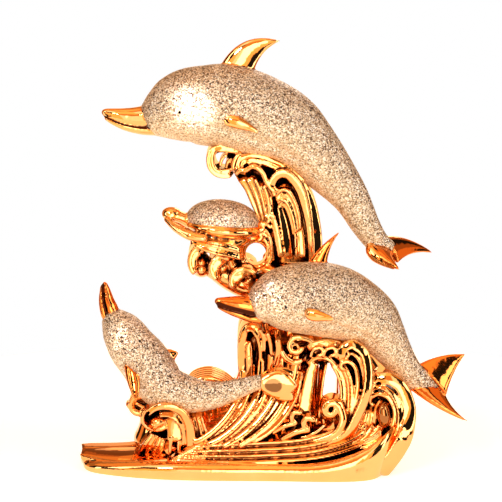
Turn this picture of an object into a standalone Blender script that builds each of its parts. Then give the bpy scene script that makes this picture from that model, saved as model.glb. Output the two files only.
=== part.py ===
"""A cast ceramic statue: three dolphins and a sea turtle riding curling waves.

One closed casting in metres, +Z up, seen from the front along +Y, with its flat
underside on z = 0 and the origin in the middle of the base.
"""
import math

import bmesh
import bpy
import numpy as np

# Sizes that can be set by themselves, in metres.
HEIGHT = 0.3215         # underside to the tip of the top dolphin's back fin
BASE_LENGTH = 0.233     # left tip of the base to its right end
BASE_DEPTH = 0.117      # front of the base to its back
BAND_HEIGHT = 0.0126    # smooth band round the foot of the base
BAND_ROUNDING = 0.0055  # how far the band's top edge rolls inwards
BASE_CENTRE = (-0.0085, -0.0015)
TIP_START = 0.4         # share of the base's half length where its left tip starts to sink
TIP_DROP = 0.5          # share of the band's height lost at the very tip
CLIMB_START = 0.35      # share of the half length where the band starts to climb to the right
CLIMB_POWER = 2.6       # how late the climb steepens
CLIMB = 0.029           # height the band gains at the right end, where it meets the farther crest
CLIMB_LEAN = 0.015      # how far the climbed end leans out
GRAIN = 0.0014          # cell of the grid that fuses the overlapping forms
TRIANGLES = 9800        # faces left on the fused skin

# The sculpture keeps its proportions: its points and widths are in shares of its height,
# 321.5 to the whole, so they read as millimetres at the height above.
UNIT = HEIGHT / 321.5
MIRROR = 4              # depth of the upright plane that the front waves are repeated behind

# A dolphin's body: its half height by the share of its length, the girth taken as 1, and its
# half breadth in shares of its half height. Then the same for a jaw along the beak.
BODY_HEIGHTS = ((0, 0.42), (0.04, 0.62), (0.08, 0.77), (0.14, 0.88), (0.21, 0.95), (0.29, 0.99),
                (0.38, 0.97), (0.48, 0.87), (0.56, 0.74), (0.66, 0.59), (0.78, 0.43), (0.88, 0.34),
                (0.95, 0.28), (1, 0.22))
BODY_BREADTHS = ((0, 0.98), (0.1, 0.9), (0.3, 0.84), (0.6, 0.78), (0.85, 0.62), (1, 0.5))
BROW = 0.25             # how far the brow bulges ahead of the spine, in shares of the first half height
JAW_HEIGHTS = ((0, 1.0), (0.3, 0.89), (0.6, 0.68), (0.8, 0.49), (0.93, 0.33), (1, 0.2))
# A flipper's half width and half thickness from its root to its tip.
FLIPPER_WIDTHS = (3.2, 4.6, 4.6, 3.6, 2.4, 1.4)
FLIPPER_DEPTHS = (3.0, 3.6, 3.4, 2.8, 2.2, 1.4)
# The foot's outline from above, in shares of its half length and half depth.
BASE_OUTLINE = ((-1, -0.2), (-0.9, -0.6), (-0.44, -0.91), (0.25, -0.98), (0.76, -1), (0.95, -0.74),
                (1, -0.06), (0.93, 0.67), (0.5, 1), (-0.2, 0.82), (-0.7, 0.18), (-0.97, -0.1))
# The band's section as (share of its height, share of its rounding).
BAND_PROFILE = ((-0.3, 0.9), (-0.15, 0.4), (0, 0.1), (0.2, 0), (0.55, 0), (0.75, 0.16), (0.9, 0.47), (1, 1))


# Curves and frames

def unit(vectors):
    return vectors / np.linalg.norm(vectors, axis=-1, keepdims=True)


def at(*points):
    """Points of the sculpture, from its own units to metres."""
    return np.array(points, float) * UNIT


def smooth_curve(points, steps=20):
    """A curve through the points, and the length run along it at each step."""
    p = np.array(points, float)
    led = np.vstack([2 * p[0] - p[1], p, 2 * p[-1] - p[-2]])
    t = np.linspace(0, 1, steps, endpoint=False)[:, None]
    spans = [b + 0.5 * t * (c - a + t * (2 * a - 5 * b + 4 * c - d + t * (3 * (b - c) + d - a)))
             for a, b, c, d in zip(led, led[1:], led[2:], led[3:])]
    curve = np.vstack(spans + [p[-1:]])
    run = np.concatenate([[0], np.cumsum(np.linalg.norm(np.diff(curve, axis=0), axis=1))])
    return curve, run


def along(points, shares):
    curve, run = smooth_curve(points)
    return np.column_stack([np.interp(np.asarray(shares) * run[-1], run, curve[:, k]) for k in range(3)])


def spread(values, shares):
    """Values given in even steps along a form, or as (share, value) pairs, read at the shares."""
    v = np.array(values, float)
    if v.ndim == 1:
        return np.interp(shares, np.linspace(0, 1, len(v)), v)
    return np.interp(shares, v[:, 0], v[:, 1])


def frames(path):
    """Up and sideways directions along a path, sideways as near the depth axis as it can be."""
    forward = unit(np.gradient(path, axis=0))
    depth = np.array([0, 1, 0])
    side = unit(depth - (forward @ depth)[:, None] * forward)
    return np.cross(forward, side), side


def coil(path, centre, turns, shrink):
    """Leads a path on round a centre in the upright plane, shrinking its arm as it turns."""
    arm = path[-1] - centre
    more = []
    for share in np.linspace(0, 1, int(12 * abs(turns)) + 2)[1:]:
        angle = -turns * 2 * math.pi * share
        x = arm[0] * math.cos(angle) - arm[2] * math.sin(angle)
        z = arm[0] * math.sin(angle) + arm[2] * math.cos(angle)
        more.append(centre + shrink ** share * np.array([x, arm[1], z]))
    return np.vstack([path, more])


def behind(path):
    """The path mirrored to the back of the waves."""
    back = path.copy()
    back[:, 1] = 2 * MIRROR * UNIT - back[:, 1]
    return back


# Solid forms

def loft(skin, rings):
    """A closed tube through rings of as many points each."""
    loops = [[skin.verts.new(point) for point in ring] for ring in rings]
    for near, far in zip(loops, loops[1:]):
        for i in range(len(near)):
            j = (i + 1) % len(near)
            skin.faces.new((near[i], near[j], far[j], far[i]))
    skin.faces.new(loops[0][::-1])
    skin.faces.new(loops[-1])


def sweep(skin, path, wide, deep, sides=14):
    """An oval section carried along a path in metres, with round ends."""
    length = smooth_curve(path)[1][-1] / UNIT
    ends = [min(0.45, spread(wide, s) / length, spread(deep, s) / length) for s in (0.0, 1.0)]
    shares = list(np.linspace(0, 1, int(10 + length / 2.2))[1:-1])
    for part in (0.004, 0.05, 0.16, 0.35, 0.65, 1.0):
        shares += [ends[0] * part, 1 - ends[1] * part]
    shares = np.unique(np.round(shares, 6))
    shares = shares[np.concatenate([[True], np.diff(shares) > 0.0008])]
    line = along(path, shares)
    up, side = frames(line)
    near = np.minimum(shares / ends[0], (1 - shares) / ends[1]).clip(0, 1)
    cap = np.sqrt(1 - (1 - near) ** 2) * UNIT
    w, d = spread(wide, shares) * cap, spread(deep, shares) * cap
    turn = np.arange(sides) * 2 * math.pi / sides
    rings = [line[i] + np.outer(np.cos(turn), up[i] * w[i]) + np.outer(np.sin(turn), side[i] * d[i])
             for i in range(len(shares))]
    loft(skin, rings)


def mass(skin, points, wide, deep, sides=18):
    sweep(skin, at(*points), wide, deep, sides)


def rib(skin, points, wide, deep, curl=None, back=True):
    """A ridge of water whose front face runs through the points, curling up at its end.

    curl is the curl's centre across and up, its turns and what is left of its radius.
    """
    path = at(*points)
    if curl:
        x, z, turns, shrink = curl
        path = coil(path, at((x, points[-1][1], z))[0], turns, shrink)
    path[:, 1] += spread(deep, np.linspace(0, 1, len(path))) * UNIT
    sweep(skin, path, wide, deep)
    if back:
        sweep(skin, behind(path), wide, deep)


def flow(skin, guides, count, deep, swell=0.52, fade=0.75, back=True):
    """A fan of ridges between guide lines; swell is a ridge's half width per gap."""
    shares = np.linspace(0, 1, 25)
    lines = np.array([along(at(*guide), shares) for guide in guides])
    gap = sum(np.linalg.norm(b - a, axis=1) for a, b in zip(lines, lines[1:])) / (count - 1) / UNIT
    taper = 1 - (1 - fade) * np.abs(2 * shares - 1) ** 4
    w = np.maximum(gap * swell * taper, 1.5)
    d = np.maximum(deep * taper, w)
    for place in np.linspace(0, len(guides) - 1, count):
        low = min(int(place), len(guides) - 2)
        line = lines[low] + (lines[low + 1] - lines[low]) * (place - low)
        line[:, 1] += d * UNIT
        sweep(skin, line, w, d)
        if back:
            sweep(skin, behind(line), w, d)


def ball(skin, centre, radii, tip=0.0, around=18, rings=12):
    """An ellipsoid, tipped about the depth axis by so many degrees."""
    tip = math.radians(tip)
    turn = np.arange(around) * 2 * math.pi / around
    loops = []
    for polar in np.linspace(0.02, 0.98, rings) * math.pi:
        x = radii[0] * math.sin(polar) * np.cos(turn)
        y = radii[1] * math.sin(polar) * np.sin(turn)
        z = radii[2] * math.cos(polar)
        across, up = x * math.cos(tip) + z * math.sin(tip), z * math.cos(tip) - x * math.sin(tip)
        loops.append((np.column_stack([across, y, up]) + centre) * UNIT)
    loft(skin, loops)


def blade(skin, front, back, tip, thick, lead, trail, sides=12):
    """A fin from its root's front and back corners to its tip.

    lead and trail are how far each edge bows, per length, the trailing edge hollow if positive.
    """
    front, back, tip = at(front, back, tip)
    thick = thick * UNIT
    normal = unit(np.cross(back - front, tip - front))

    def bend(root, other, bow):
        out = unit(np.cross(normal, tip - root))
        if np.dot(out, other - root) > 0:
            out = -out
        return (root + tip) / 2 + 2 * out * bow * np.linalg.norm(tip - root)

    lead_bend, trail_bend = bend(front, back, lead), bend(back, front, -trail)
    turn = np.arange(sides) * 2 * math.pi / sides
    rings = []
    for s in np.concatenate([np.linspace(0, 0.9, 10), [0.95, 0.98, 0.995]]):
        left = (1 - s) ** 2 * front + 2 * s * (1 - s) * lead_bend + s * s * tip
        right = (1 - s) ** 2 * back + 2 * s * (1 - s) * trail_bend + s * s * tip
        half = (right - left) / 2
        width = max(np.linalg.norm(half), thick * 0.7 * math.sqrt(max(1 - s, 0.03)))
        depth = min(thick * (1 - 0.55 * s) * max(1 - s, 0.01) ** 0.2, width)
        rings.append((left + right) / 2 + np.outer(np.cos(turn), unit(half) * width)
                     + np.outer(np.sin(turn), normal * depth))
    loft(skin, rings)


# Animals

def dolphin(skin, spine, girth, beak, jaw, fins, flippers):
    """spine runs from the beak's root to the flukes; girth and jaw are half heights."""
    profile = smooth_curve([(share, size, 0) for share, size in BODY_HEIGHTS], 8)[0]
    shares = np.unique(np.concatenate([np.linspace(0, 1, 36), [0.006, 0.016, 0.028, 0.045]]))
    path = along(at(*spine), shares)
    up, side = frames(path)
    tall = np.interp(shares, profile[:, 0], profile[:, 1]) * girth * UNIT
    broad = tall * spread(BODY_BREADTHS, shares)
    turn = np.arange(24) * 2 * math.pi / 24
    brow = unit(path[0] - path[1]) * tall[0] * BROW
    rings = []
    for out in (0.97, 0.8, 0.5):
        size = math.sqrt(1 - out * out)
        rings.append(path[0] + brow * out + np.outer(np.sin(turn) * size, up[0] * tall[0])
                     + np.outer(np.cos(turn) * size, side[0] * broad[0]))
    for i in range(len(shares)):
        rings.append(path[i] + np.outer(np.sin(turn), up[i] * tall[i])
                     + np.outer(np.cos(turn), side[i] * broad[i]))
    loft(skin, rings)
    beaked(skin, beak, jaw)
    for fin in fins:
        blade(skin, *fin)
    for points in flippers:
        sweep(skin, at(*points), FLIPPER_WIDTHS, FLIPPER_DEPTHS, sides=12)


def beaked(skin, points, jaw):
    """Two jaws that overlap low down, where their crossing draws the mouth."""
    shares = np.linspace(0, 1, 14)
    path = along(at(*points), shares)
    up = -frames(path)[0]
    tall = spread(JAW_HEIGHTS, shares) * jaw
    for rise, height, breadth, end in ((0.2, 0.8, 0.86, 14), (-0.62, 0.4, 0.78, 13)):
        line = path[:end] + up[:end] * (tall[:end] * rise * UNIT)[:, None]
        sweep(skin, line, tall[:end] * height, tall[:end] * breadth, sides=20)


def top_dolphin(skin):
    spine = [(-71, -6, 262), (-63, -6, 265.5), (-52.5, -5, 269.5), (-42, -4, 272), (-30, -3, 272),
             (-12, -2, 271), (14, 0, 262), (30, 0, 254.5), (44, 0, 243), (61, 0, 225.5),
             (79, 1, 203.5), (91, 2, 182), (100, 3, 169), (110, 4, 161.5)]
    beak = [(-64, -6, 262), (-75, -6, 261.5), (-86, -7, 262), (-96, -8, 264), (-107.5, -8, 267.5)]
    back_fin = ((-19, -2, 301), (6.5, -1, 296.5), (26.5, -1, 319.7), 5.2, 0.2, 0.12)
    near_fluke = ((91, -9, 168.5), (113, -4, 159), (118, -32, 153.5), 4.0, 0.08, 0.05)
    far_fluke = ((104, 8, 172), (116, 2, 152.5), (145.5, 30, 155), 4.0, 0.1, 0.1)
    near_flipper = [(-16, -25.5, 264.5), (-7, -28, 262.5), (1.5, -29.5, 259.5), (10, -32, 255.5)]
    far_flipper = [(-16, 19.5, 261), (-7, 22.5, 259), (1.5, 24, 256), (9, 27, 252)]
    dolphin(skin, spine, 32, beak, 11.8, (back_fin, near_fluke, far_fluke), (near_flipper, far_flipper))


def middle_dolphin(skin):
    spine = [(8, -38, 126.5), (15, -37, 129.5), (26, -35, 132), (40, -32, 132.5), (55, -28, 131),
             (69, -25, 127.5), (82, -22, 121.5), (95, -20, 113.5), (104, -18, 101.5), (113, -16, 88),
             (122, -14, 75.5), (131, -13, 65.5), (139, -12, 59), (145, -12, 55.5)]
    beak = [(15, -37, 124.5), (6, -38, 125.5), (-3, -40, 127.3), (-14, -41, 129.5), (-23, -42, 132)]
    back_fin = ((45, -28, 155.5), (61, -27, 155.5), (71, -26, 181.5), 4.6, 0.06, 0.08)
    upper_fluke = ((132, -8, 77), (153, -13, 55), (168.5, 6, 83.5), 3.8, 0.07, 0.05)
    lower_fluke = ((126, -16, 59), (151, -12, 58.5), (170, -26, 36.5), 3.8, 0.05, 0.1)
    near_flipper = [(44, -55, 126), (50, -57, 125), (57, -59, 124), (65, -62, 123)]
    far_flipper = [(45, -4, 121), (52, -1, 119), (59, 2, 117), (68, 6, 115)]
    dolphin(skin, spine, 28, beak, 11, (back_fin, upper_fluke, lower_fluke), (near_flipper, far_flipper))


def small_dolphin(skin):
    spine = [(-102, -14, 115.5), (-97, -15, 109), (-91, -17, 101), (-85, -19, 92), (-77, -21, 83),
             (-70, -23, 73), (-60, -26, 63), (-47, -29, 59.5), (-33, -32, 58.5), (-19, -35, 60.5),
             (-5, -38, 65.5), (9, -42, 71), (18, -44, 74)]
    beak = [(-101, -14, 114.5), (-103, -14, 120.5), (-105, -13, 127), (-106, -12, 134), (-107, -12, 141)]
    back_fin = ((-65, -21, 90.5), (-55, -22, 78.5), (-50, -21, 88.5), 3.6, 0.14, 0.05)
    upper_fluke = ((12, -43, 77.5), (25, -46, 66), (37, -43, 80), 3.4, 0.18, -0.16)
    lower_fluke = ((12, -44, 67), (25, -46, 78), (36, -46, 58.5), 3.4, 0.16, -0.16)
    near_flipper = ((-91, -31, 82), (-80, -37, 75), (-81.5, -47, 56.5), 3.2, 0.06, -0.1)
    far_flipper = [(-89, -4, 75.5), (-86, -1, 67.5), (-84, 1, 59.5), (-84, 4, 51)]
    dolphin(skin, spine, 19.5, beak, 7.6, (back_fin, upper_fluke, lower_fluke, near_flipper), (far_flipper,))


def turtle(skin):
    ball(skin, (-17, -10, 187.5), (27.5, 22, 15), tip=5, around=24)
    ball(skin, (-16, -10, 182), (29.5, 25, 7.5), tip=6, around=24)
    ball(skin, (-55, -12, 192), (7.8, 6, 5.4), tip=8)
    mass(skin, [(-55, -12, 191), (-48, -12, 189.5), (-38, -11, 184.5)],
         wide=(4.2, 4.6, 6.5), deep=(5, 6, 9))
    mass(skin, [(-60, -18, 190), (-51, -25, 183.5), (-40, -31, 179), (-28, -34, 177)],
         wide=(1.8, 3.2, 4, 2.6), deep=(3, 4, 5, 3.5))
    mass(skin, [(-57, -2, 186), (-50, 4, 180.5), (-40, 12, 174.5), (-23, 18, 169)],
         wide=(1.8, 3.6, 4.6, 4), deep=(3, 4, 5, 5))
    mass(skin, [(-39, -9, 176.5), (-26, -9, 172), (-9, -8, 171.5), (4, -6, 177.5)],
         wide=(5, 7, 7, 6), deep=(16, 19, 18, 14))
    mass(skin, [(1, -8, 182.5), (10, -4, 181.5), (20, 0, 178)], wide=(7, 7, 7), deep=(13, 12, 10))


# Waves

def column(skin):
    """The tall wave that carries the top dolphin, its crests breaking to the left."""
    mass(skin, [(36, 4, -12), (34, 4, 22), (35, 5, 61), (38, 5, 108), (37, 4, 153), (36, 4, 181),
                (30, 4, 203), (16, 4, 219), (2, 4, 224)],
         wide=(28, 24, 21, 21, 20, 19, 17, 11, 6), deep=(28, 24, 20, 18, 13, 12, 12, 12, 10))
    rib(skin, [(55, -6, 150), (55, -8, 171), (52, -10, 193), (46, -12, 209), (35, -14, 221),
               (23, -15, 229), (9, -15, 233), (1, -15, 233)],
        wide=(3.2, 3.4, 3.6, 4, 4.4, 4.2, 3.6, 3), deep=(12, 12, 12, 12, 12, 11, 9, 8),
        curl=(1, 227, -0.55, 0.6))
    rib(skin, [(47, -14, 151), (47, -17, 175), (44, -20, 196), (40, -22, 210), (33, -23, 218),
               (25, -23, 221), (19, -22, 217)],
        wide=(3, 3.4, 4, 4.8, 4.8, 3.8, 2.8), deep=(9, 10, 12, 13, 12, 10, 8), curl=(23, 214.5, -0.4, 0.5))
    rib(skin, [(38, -18, 152), (38, -21, 174), (35, -24, 192), (31, -25, 203), (26.5, -25, 206.5),
               (22, -24, 202)],
        wide=(3, 3.4, 3.6, 3.8, 3.2, 2.4), deep=(9, 10, 12, 12, 10, 8), curl=(26.5, 199, -0.55, 0.4))
    rib(skin, [(-6, -9, 218), (-3, -12, 224), (4, -15, 226.5), (12, -18, 223), (18, -20, 215),
               (20, -20, 205)], wide=(2.4, 2.8, 3, 3, 2.8, 2.4), deep=(9, 10, 10, 10, 9, 8))
    flow(skin, [[(-4, -9, 218), (1, -11, 208), (6, -13, 196), (12, -14, 185), (15, -12, 172)],
                [(14, -20, 220), (18, -22, 211), (22, -23, 201), (25, -22, 187), (26, -19, 170)]],
         count=3, deep=10, swell=0.44)
    rib(skin, [(29, -19, 154), (30, -22, 169), (27, -24, 180), (22, -24, 184), (18, -22, 179),
               (16, -18, 167), (17, -14, 153)],
        wide=(2.6, 2.8, 3, 3, 3, 2.8, 2.6), deep=(8, 9, 10, 10, 9, 8, 8))
    rib(skin, [(12, -16, 173), (10, -19, 180), (12, -21, 187), (17, -22, 190)],
        wide=(2.6, 2.8, 3, 2.6), deep=(8, 8, 8, 8), curl=(16.5, 185.5, 0.8, 0.4), back=False)
    mass(skin, [(14, -4, 151), (26, -10, 149), (41, -12, 149), (56, -4, 151)],
         wide=(4, 5, 5, 4), deep=(11, 12, 12, 11))
    for x, y in ((17, 18), (28, 22), (38, 22), (47, 18), (55, 12)):
        mass(skin, [(x, y, 158), (x - 0.5, y + 3, 124), (x - 3, y + 6, 90)],
             wide=(3.6, 4.6, 5), deep=(4, 5, 5))


def top_scroll(skin):
    """The hollow scroll that meets the top dolphin's belly."""
    mass(skin, [(12, 4, 225), (1, 4, 229), (-6, 4, 232), (-14, 4, 229)],
         wide=(5, 6, 6, 5), deep=(14, 13, 12, 10))
    rib(skin, [(14, -14, 238), (4, -15, 241), (-5, -15, 241), (-13, -15, 240)],
        wide=(3.4, 3.8, 4.2, 4.4), deep=(16, 17, 17, 17), curl=(-14.5, 231, -0.72, 0.82))
    rib(skin, [(-21, -16, 227), (-17, -16, 224.5), (-11, -16, 223.5), (-5, -15, 225.5)],
        wide=(2.6, 4.2, 4.2, 3.2), deep=(16, 19, 19, 16), back=False)
    rib(skin, [(-4, -10, 235), (-9, -11, 235), (-13, -11, 231)],
        wide=(2, 2.2, 2), deep=(9, 9, 9), curl=(-12, 228.5, -0.4, 0.6), back=False)


def turtle_wave(skin):
    """The wave under the turtle, with a hole that shows daylight and three nested scrolls."""
    mass(skin, [(29, 4, 131), (13, 2, 134), (-4, 0, 139), (-20, -2, 148), (-31, -4, 153)],
         wide=(12, 11, 11, 10, 7), deep=(17, 17, 17, 16, 12))
    mass(skin, [(-7, -2, 146), (-11, -4, 159), (-12, -6, 170)], wide=(7, 6, 7), deep=(15, 15, 15))
    hole_x, hole_z, ring_radius, ring_height = 8, 162, 9.4, 10
    ring = [(hole_x + ring_radius * math.cos(turn), -14, hole_z + ring_height * math.sin(turn))
            for turn in np.radians(range(-40, 340, 30))]
    rib(skin, ring, wide=(2.8, 2.8), deep=(8, 8), back=False)
    flow(skin, [[(-39, -24, 173), (-28, -28, 171), (-17, -29, 170), (-6, -26, 164), (-1, -24, 153)],
                [(-39, -24, 167), (-28, -28, 165), (-19, -29, 162), (-11, -27, 155), (-3, -25, 146)]],
         count=2, deep=10, swell=0.36)
    lead = ((18, 4.5), (9, 9), (1.5, 10.5))
    for x, y, z in ((-33, -27, 156.5), (-17, -28, 152), (2, -28, 142.5)):
        crest = [(x + across, y + 1.3 * (across > 9), z + rise) for across, rise in lead]
        rib(skin, crest, wide=(2.8, 3, 3), deep=(12, 15, 16), curl=(x, z, -1.5, 0.25), back=x < 0)
        ball(skin, (x, 0, z - 6), (8, 17, 8))


def great_wave(skin):
    """The fluted wave that sweeps up from the front left to under the middle dolphin."""
    mass(skin, [(-30, -6, 0), (-7, -6, 19), (11, -4, 42), (19, -2, 63), (22, 0, 86), (20, 0, 105)],
         wide=(13, 17, 19, 18, 18, 15), deep=(30, 28, 24, 21, 19, 17))
    flow(skin, [[(-45, -44, 17), (-26, -42, 26), (-12, -39, 41), (-3, -34, 61), (-1, -30, 85),
                 (-1, -27, 107)],
                [(-17, -50, 17), (4, -47, 31), (18, -43, 50), (26, -38, 70), (28, -33, 89),
                 (23, -29, 107)],
                [(8, -51, 20), (26, -47, 39), (38, -42, 59), (43, -37, 80), (44, -31, 100)]],
         count=6, deep=15)
    mass(skin, [(7, -4, 67), (5, -4, 90), (10, -4, 106)], wide=(8, 9, 9), deep=(17, 17, 15))
    rib(skin, [(-3, -29, 71), (-4, -28, 89), (-4, -29, 103), (-0.5, -30, 111.5), (5, -32, 114.5)],
        wide=(3, 3.4, 3.4, 3.4, 3.2), deep=(16.5, 16.5, 16.5, 17, 17), curl=(5, 107.5, 0.5, 0.6))
    rib(skin, [(17, -36, 92), (20, -37, 100), (26.5, -38, 102)],
        wide=(2.4, 3, 3), deep=(9, 10, 10), curl=(26.5, 94.5, 0.8, 0.5), back=False)


def barrel(skin):
    """The small barrel wave on the left, with the curl that holds up the small dolphin."""
    rib(skin, [(-35, -38, 9), (-38, -38, 21), (-39, -38, 35), (-43, -38, 45), (-52, -38, 49.5),
               (-61, -38, 49.5)],
        wide=(5.4, 4.8, 4.4, 4.2, 4, 4), deep=(26, 26, 26, 25, 24, 22), curl=(-64, 40.5, -1, 0.4))
    mass(skin, [(-65, 2, 23), (-52, 4, 21), (-45, 6, 12)], wide=(9, 12, 12), deep=(14, 17, 20))
    mass(skin, [(-70, 4, 38), (-58, 8, 43), (-44, 8, 40)], wide=(7, 7, 7), deep=(12, 13, 13))
    flow(skin, [[(-87, -36, 11), (-78, -34, 19), (-73, -31, 28), (-71, -28, 37)],
                [(-63, -36, 8), (-59, -32, 16), (-58, -29, 23), (-61, -27, 29)],
                [(-44, -36, 7), (-45, -31, 18), (-48, -28, 26), (-54, -27, 32)]],
         count=5, deep=13, swell=0.5, back=False)
    mass(skin, [(-80, 2, 9), (-74, 2, 26), (-72, 2, 39), (-74, 0, 45)],
         wide=(11, 9, 8, 6), deep=(26, 22, 16, 14))
    rib(skin, [(-62, -24, 50), (-70, -25, 55), (-76, -26, 57)],
        wide=(3, 3.2, 3.2), deep=(13, 13, 13), curl=(-79, 49, -1.15, 0.34))
    rib(skin, [(-68, -24, 37), (-75, -24, 38), (-84, -22, 42), (-89, -20, 47)],
        wide=(3, 3, 2.6, 2), deep=(11, 11, 9, 7), back=False)


def back_crest(skin):
    """The crest that shows behind the small dolphin's back."""
    mass(skin, [(-38, 12, -5), (-31, 14, 20), (-28, 16, 41), (-27, 16, 55)],
         wide=(22, 22, 19, 16), deep=(24, 20, 16, 12))
    rib(skin, [(-2, 0, 42), (-9, 1, 52), (-16, 2, 58.5), (-26, 2, 63), (-35, 2, 62.5), (-42, 3, 58.5),
               (-46, 3, 51)],
        wide=(3.4, 3.6, 3.6, 3.6, 3.4, 3.2, 3), deep=(15, 16, 16, 16, 15, 14, 13), back=False)
    flow(skin, [[(-37, -8, 18), (-41, -2, 36), (-40, 2, 50), (-32, 2, 60)],
                [(-10, -10, 28), (-11, -4, 41), (-14, 1, 51), (-20, 2, 60)]], count=4, deep=9, back=False)


def right_crests(skin):
    """The two tall crests on the right, one behind the other."""
    mass(skin, [(92, 4, -4), (106, 4, 8), (113, 4, 24), (115, 4, 40), (111, 4, 52)],
         wide=(20, 15, 11, 9, 7), deep=(36, 33, 28, 24, 20))
    mass(skin, [(80, 4, 10), (85, 4, 38), (86, 4, 58), (83, 0, 76), (78, 0, 86)],
         wide=(7, 7, 8, 8, 7), deep=(24, 22, 20, 18, 17))
    mass(skin, [(93, 4, 22), (100, 4, 42), (102, 4, 58)], wide=(9, 9, 8), deep=(16, 15, 12))
    rib(skin, [(57, -44, 18), (73, -44, 29), (84, -42, 45), (92, -40, 62), (94, -38, 78), (91, -36, 92),
               (83, -35, 99)],
        wide=(4.6, 4.6, 4.4, 4.2, 4.2, 4, 3.6), deep=(24, 24, 23, 22, 21, 20, 19),
        curl=(80, 90, -0.9, 0.42))
    rib(skin, [(94, -46, 2), (109, -43, 15), (119, -38, 30), (122, -34, 48), (117, -31, 63),
               (108, -29, 71), (99, -28, 71.5)],
        wide=(8, 7.5, 6.6, 5.6, 5, 4.4, 3.8), deep=(36, 34, 31, 28, 25, 22, 18),
        curl=(101.5, 61, -0.95, 0.42))
    rib(skin, [(77, -48, 16), (94, -46, 25), (106, -42, 36), (113, -38, 50), (110, -35, 62)],
        wide=(3, 3.4, 3.2, 3, 2.4), deep=(14, 14, 13, 12, 10), back=False)
    rib(skin, [(79, -46, 25), (91, -44, 33), (98, -40, 45), (101, -37, 56)],
        wide=(3, 3.2, 3, 2.4), deep=(14, 14, 13, 10), back=False)
    rib(skin, [(63, -44, 21), (76, -44, 33), (84, -42, 49), (88, -40, 64), (86, -38, 78)],
        wide=(2.4, 2.8, 2.8, 2.6, 2.4), deep=(10, 10, 10, 10, 8), back=False)


def tangled_water(skin):
    """Strands, a spiral and an arched window under the middle dolphin."""
    mass(skin, [(32, 0, 83), (50, 0, 84), (70, 0, 86), (85, 0, 83), (99, 0, 66)],
         wide=(11, 9, 9, 9, 8), deep=(20, 19, 19, 19, 17))
    mass(skin, [(61, -4, 17), (61, -4, 29), (61, -4, 40)], wide=(8, 8, 6), deep=(24, 22, 17))
    mass(skin, [(40, 4, 14), (43, 4, 38), (45, 4, 61), (44, 4, 80)],
         wide=(8, 6, 6, 8), deep=(20, 17, 17, 17))
    flow(skin, [[(57, -42, 21), (70, -39, 35), (72, -37, 55), (71, -35, 71), (65, -33, 83)],
                [(67, -44, 21), (78, -42, 38), (80, -40, 55), (80, -37, 71), (75, -35, 83)]],
         count=2, deep=14, swell=0.3)
    flow(skin, [[(44, -33, 89), (54, -33, 95), (64, -32, 97), (75, -30, 96)],
                [(47, -31, 81), (55, -31, 87), (66, -31, 90), (75, -30, 86)]],
         count=2, deep=10, swell=0.4, back=False)
    rib(skin, [(55, -32, 91), (49, -34, 99), (42, -36, 103)],
        wide=(2.6, 2.8, 2.8), deep=(9, 9, 9), curl=(38.5, 95.5, -1.1, 0.35), back=False)
    rib(skin, [(42, -46, 23), (57, -46, 28), (67, -45, 36), (70, -44, 46), (66, -43, 55)],
        wide=(3, 3.2, 3.2, 3, 3), deep=(12, 12, 12, 11, 10), curl=(59.5, 50, -1.3, 0.28), back=False)
    rib(skin, [(23, -46, 28), (33, -46, 34), (42, -46, 36)],
        wide=(2.4, 3, 3), deep=(10, 10, 10), curl=(44.5, 42, 0.9, 0.4), back=False)
    rib(skin, [(18, -42, 33), (26, -43, 40), (35, -43, 42)],
        wide=(2.2, 2.6, 2.6), deep=(9, 9, 9), curl=(36.5, 48, 0.8, 0.4), back=False)
    rib(skin, [(38, -38, 23), (43, -36, 41), (46, -34, 58), (49, -32, 75), (54, -31, 84)],
        wide=(3.4, 3.4, 3.2, 3, 2.8), deep=(12, 12, 12, 11, 10))
    rib(skin, [(53, -22, 25), (55, -20, 44), (57, -20, 61), (58, -20, 76)],
        wide=(2.2, 2, 2, 2.2), deep=(7, 7, 7, 7), back=False)


def base(skin):
    """The foot of the statue: an uneven oval with a smooth band, lower at its left tip.

    Towards the right end the band climbs and leans out as the smooth outside of the crest.
    """
    steps, wrap = 6, len(BASE_OUTLINE)
    closed = [BASE_OUTLINE[i % wrap] + (0,) for i in range(-1, wrap + 2)]
    share = smooth_curve(closed, steps)[0][steps:-steps - 1, :2]
    edge = share * (BASE_LENGTH / 2, BASE_DEPTH / 2) + BASE_CENTRE
    along_edge = unit(np.roll(edge, -1, axis=0) - np.roll(edge, 1, axis=0))
    outward = np.column_stack([along_edge[:, 1], -along_edge[:, 0]])
    tip = ((-share[:, 0] - TIP_START) / (1 - TIP_START)).clip(0)
    climb = ((share[:, 0] - CLIMB_START) / (1 - CLIMB_START)).clip(0) ** CLIMB_POWER
    full_height = BAND_HEIGHT * (1 - TIP_DROP * tip ** 1.5) + CLIMB * climb
    rings = []
    for level, inset in BAND_PROFILE:
        height = level * (full_height if level > 0 else BAND_HEIGHT + 0 * tip)
        ring = edge - outward * inset * BAND_ROUNDING
        ring[:, 0] += CLIMB_LEAN * climb * max(level, 0)
        rings.append(np.column_stack([ring, height]))
    loft(skin, rings)


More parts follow.
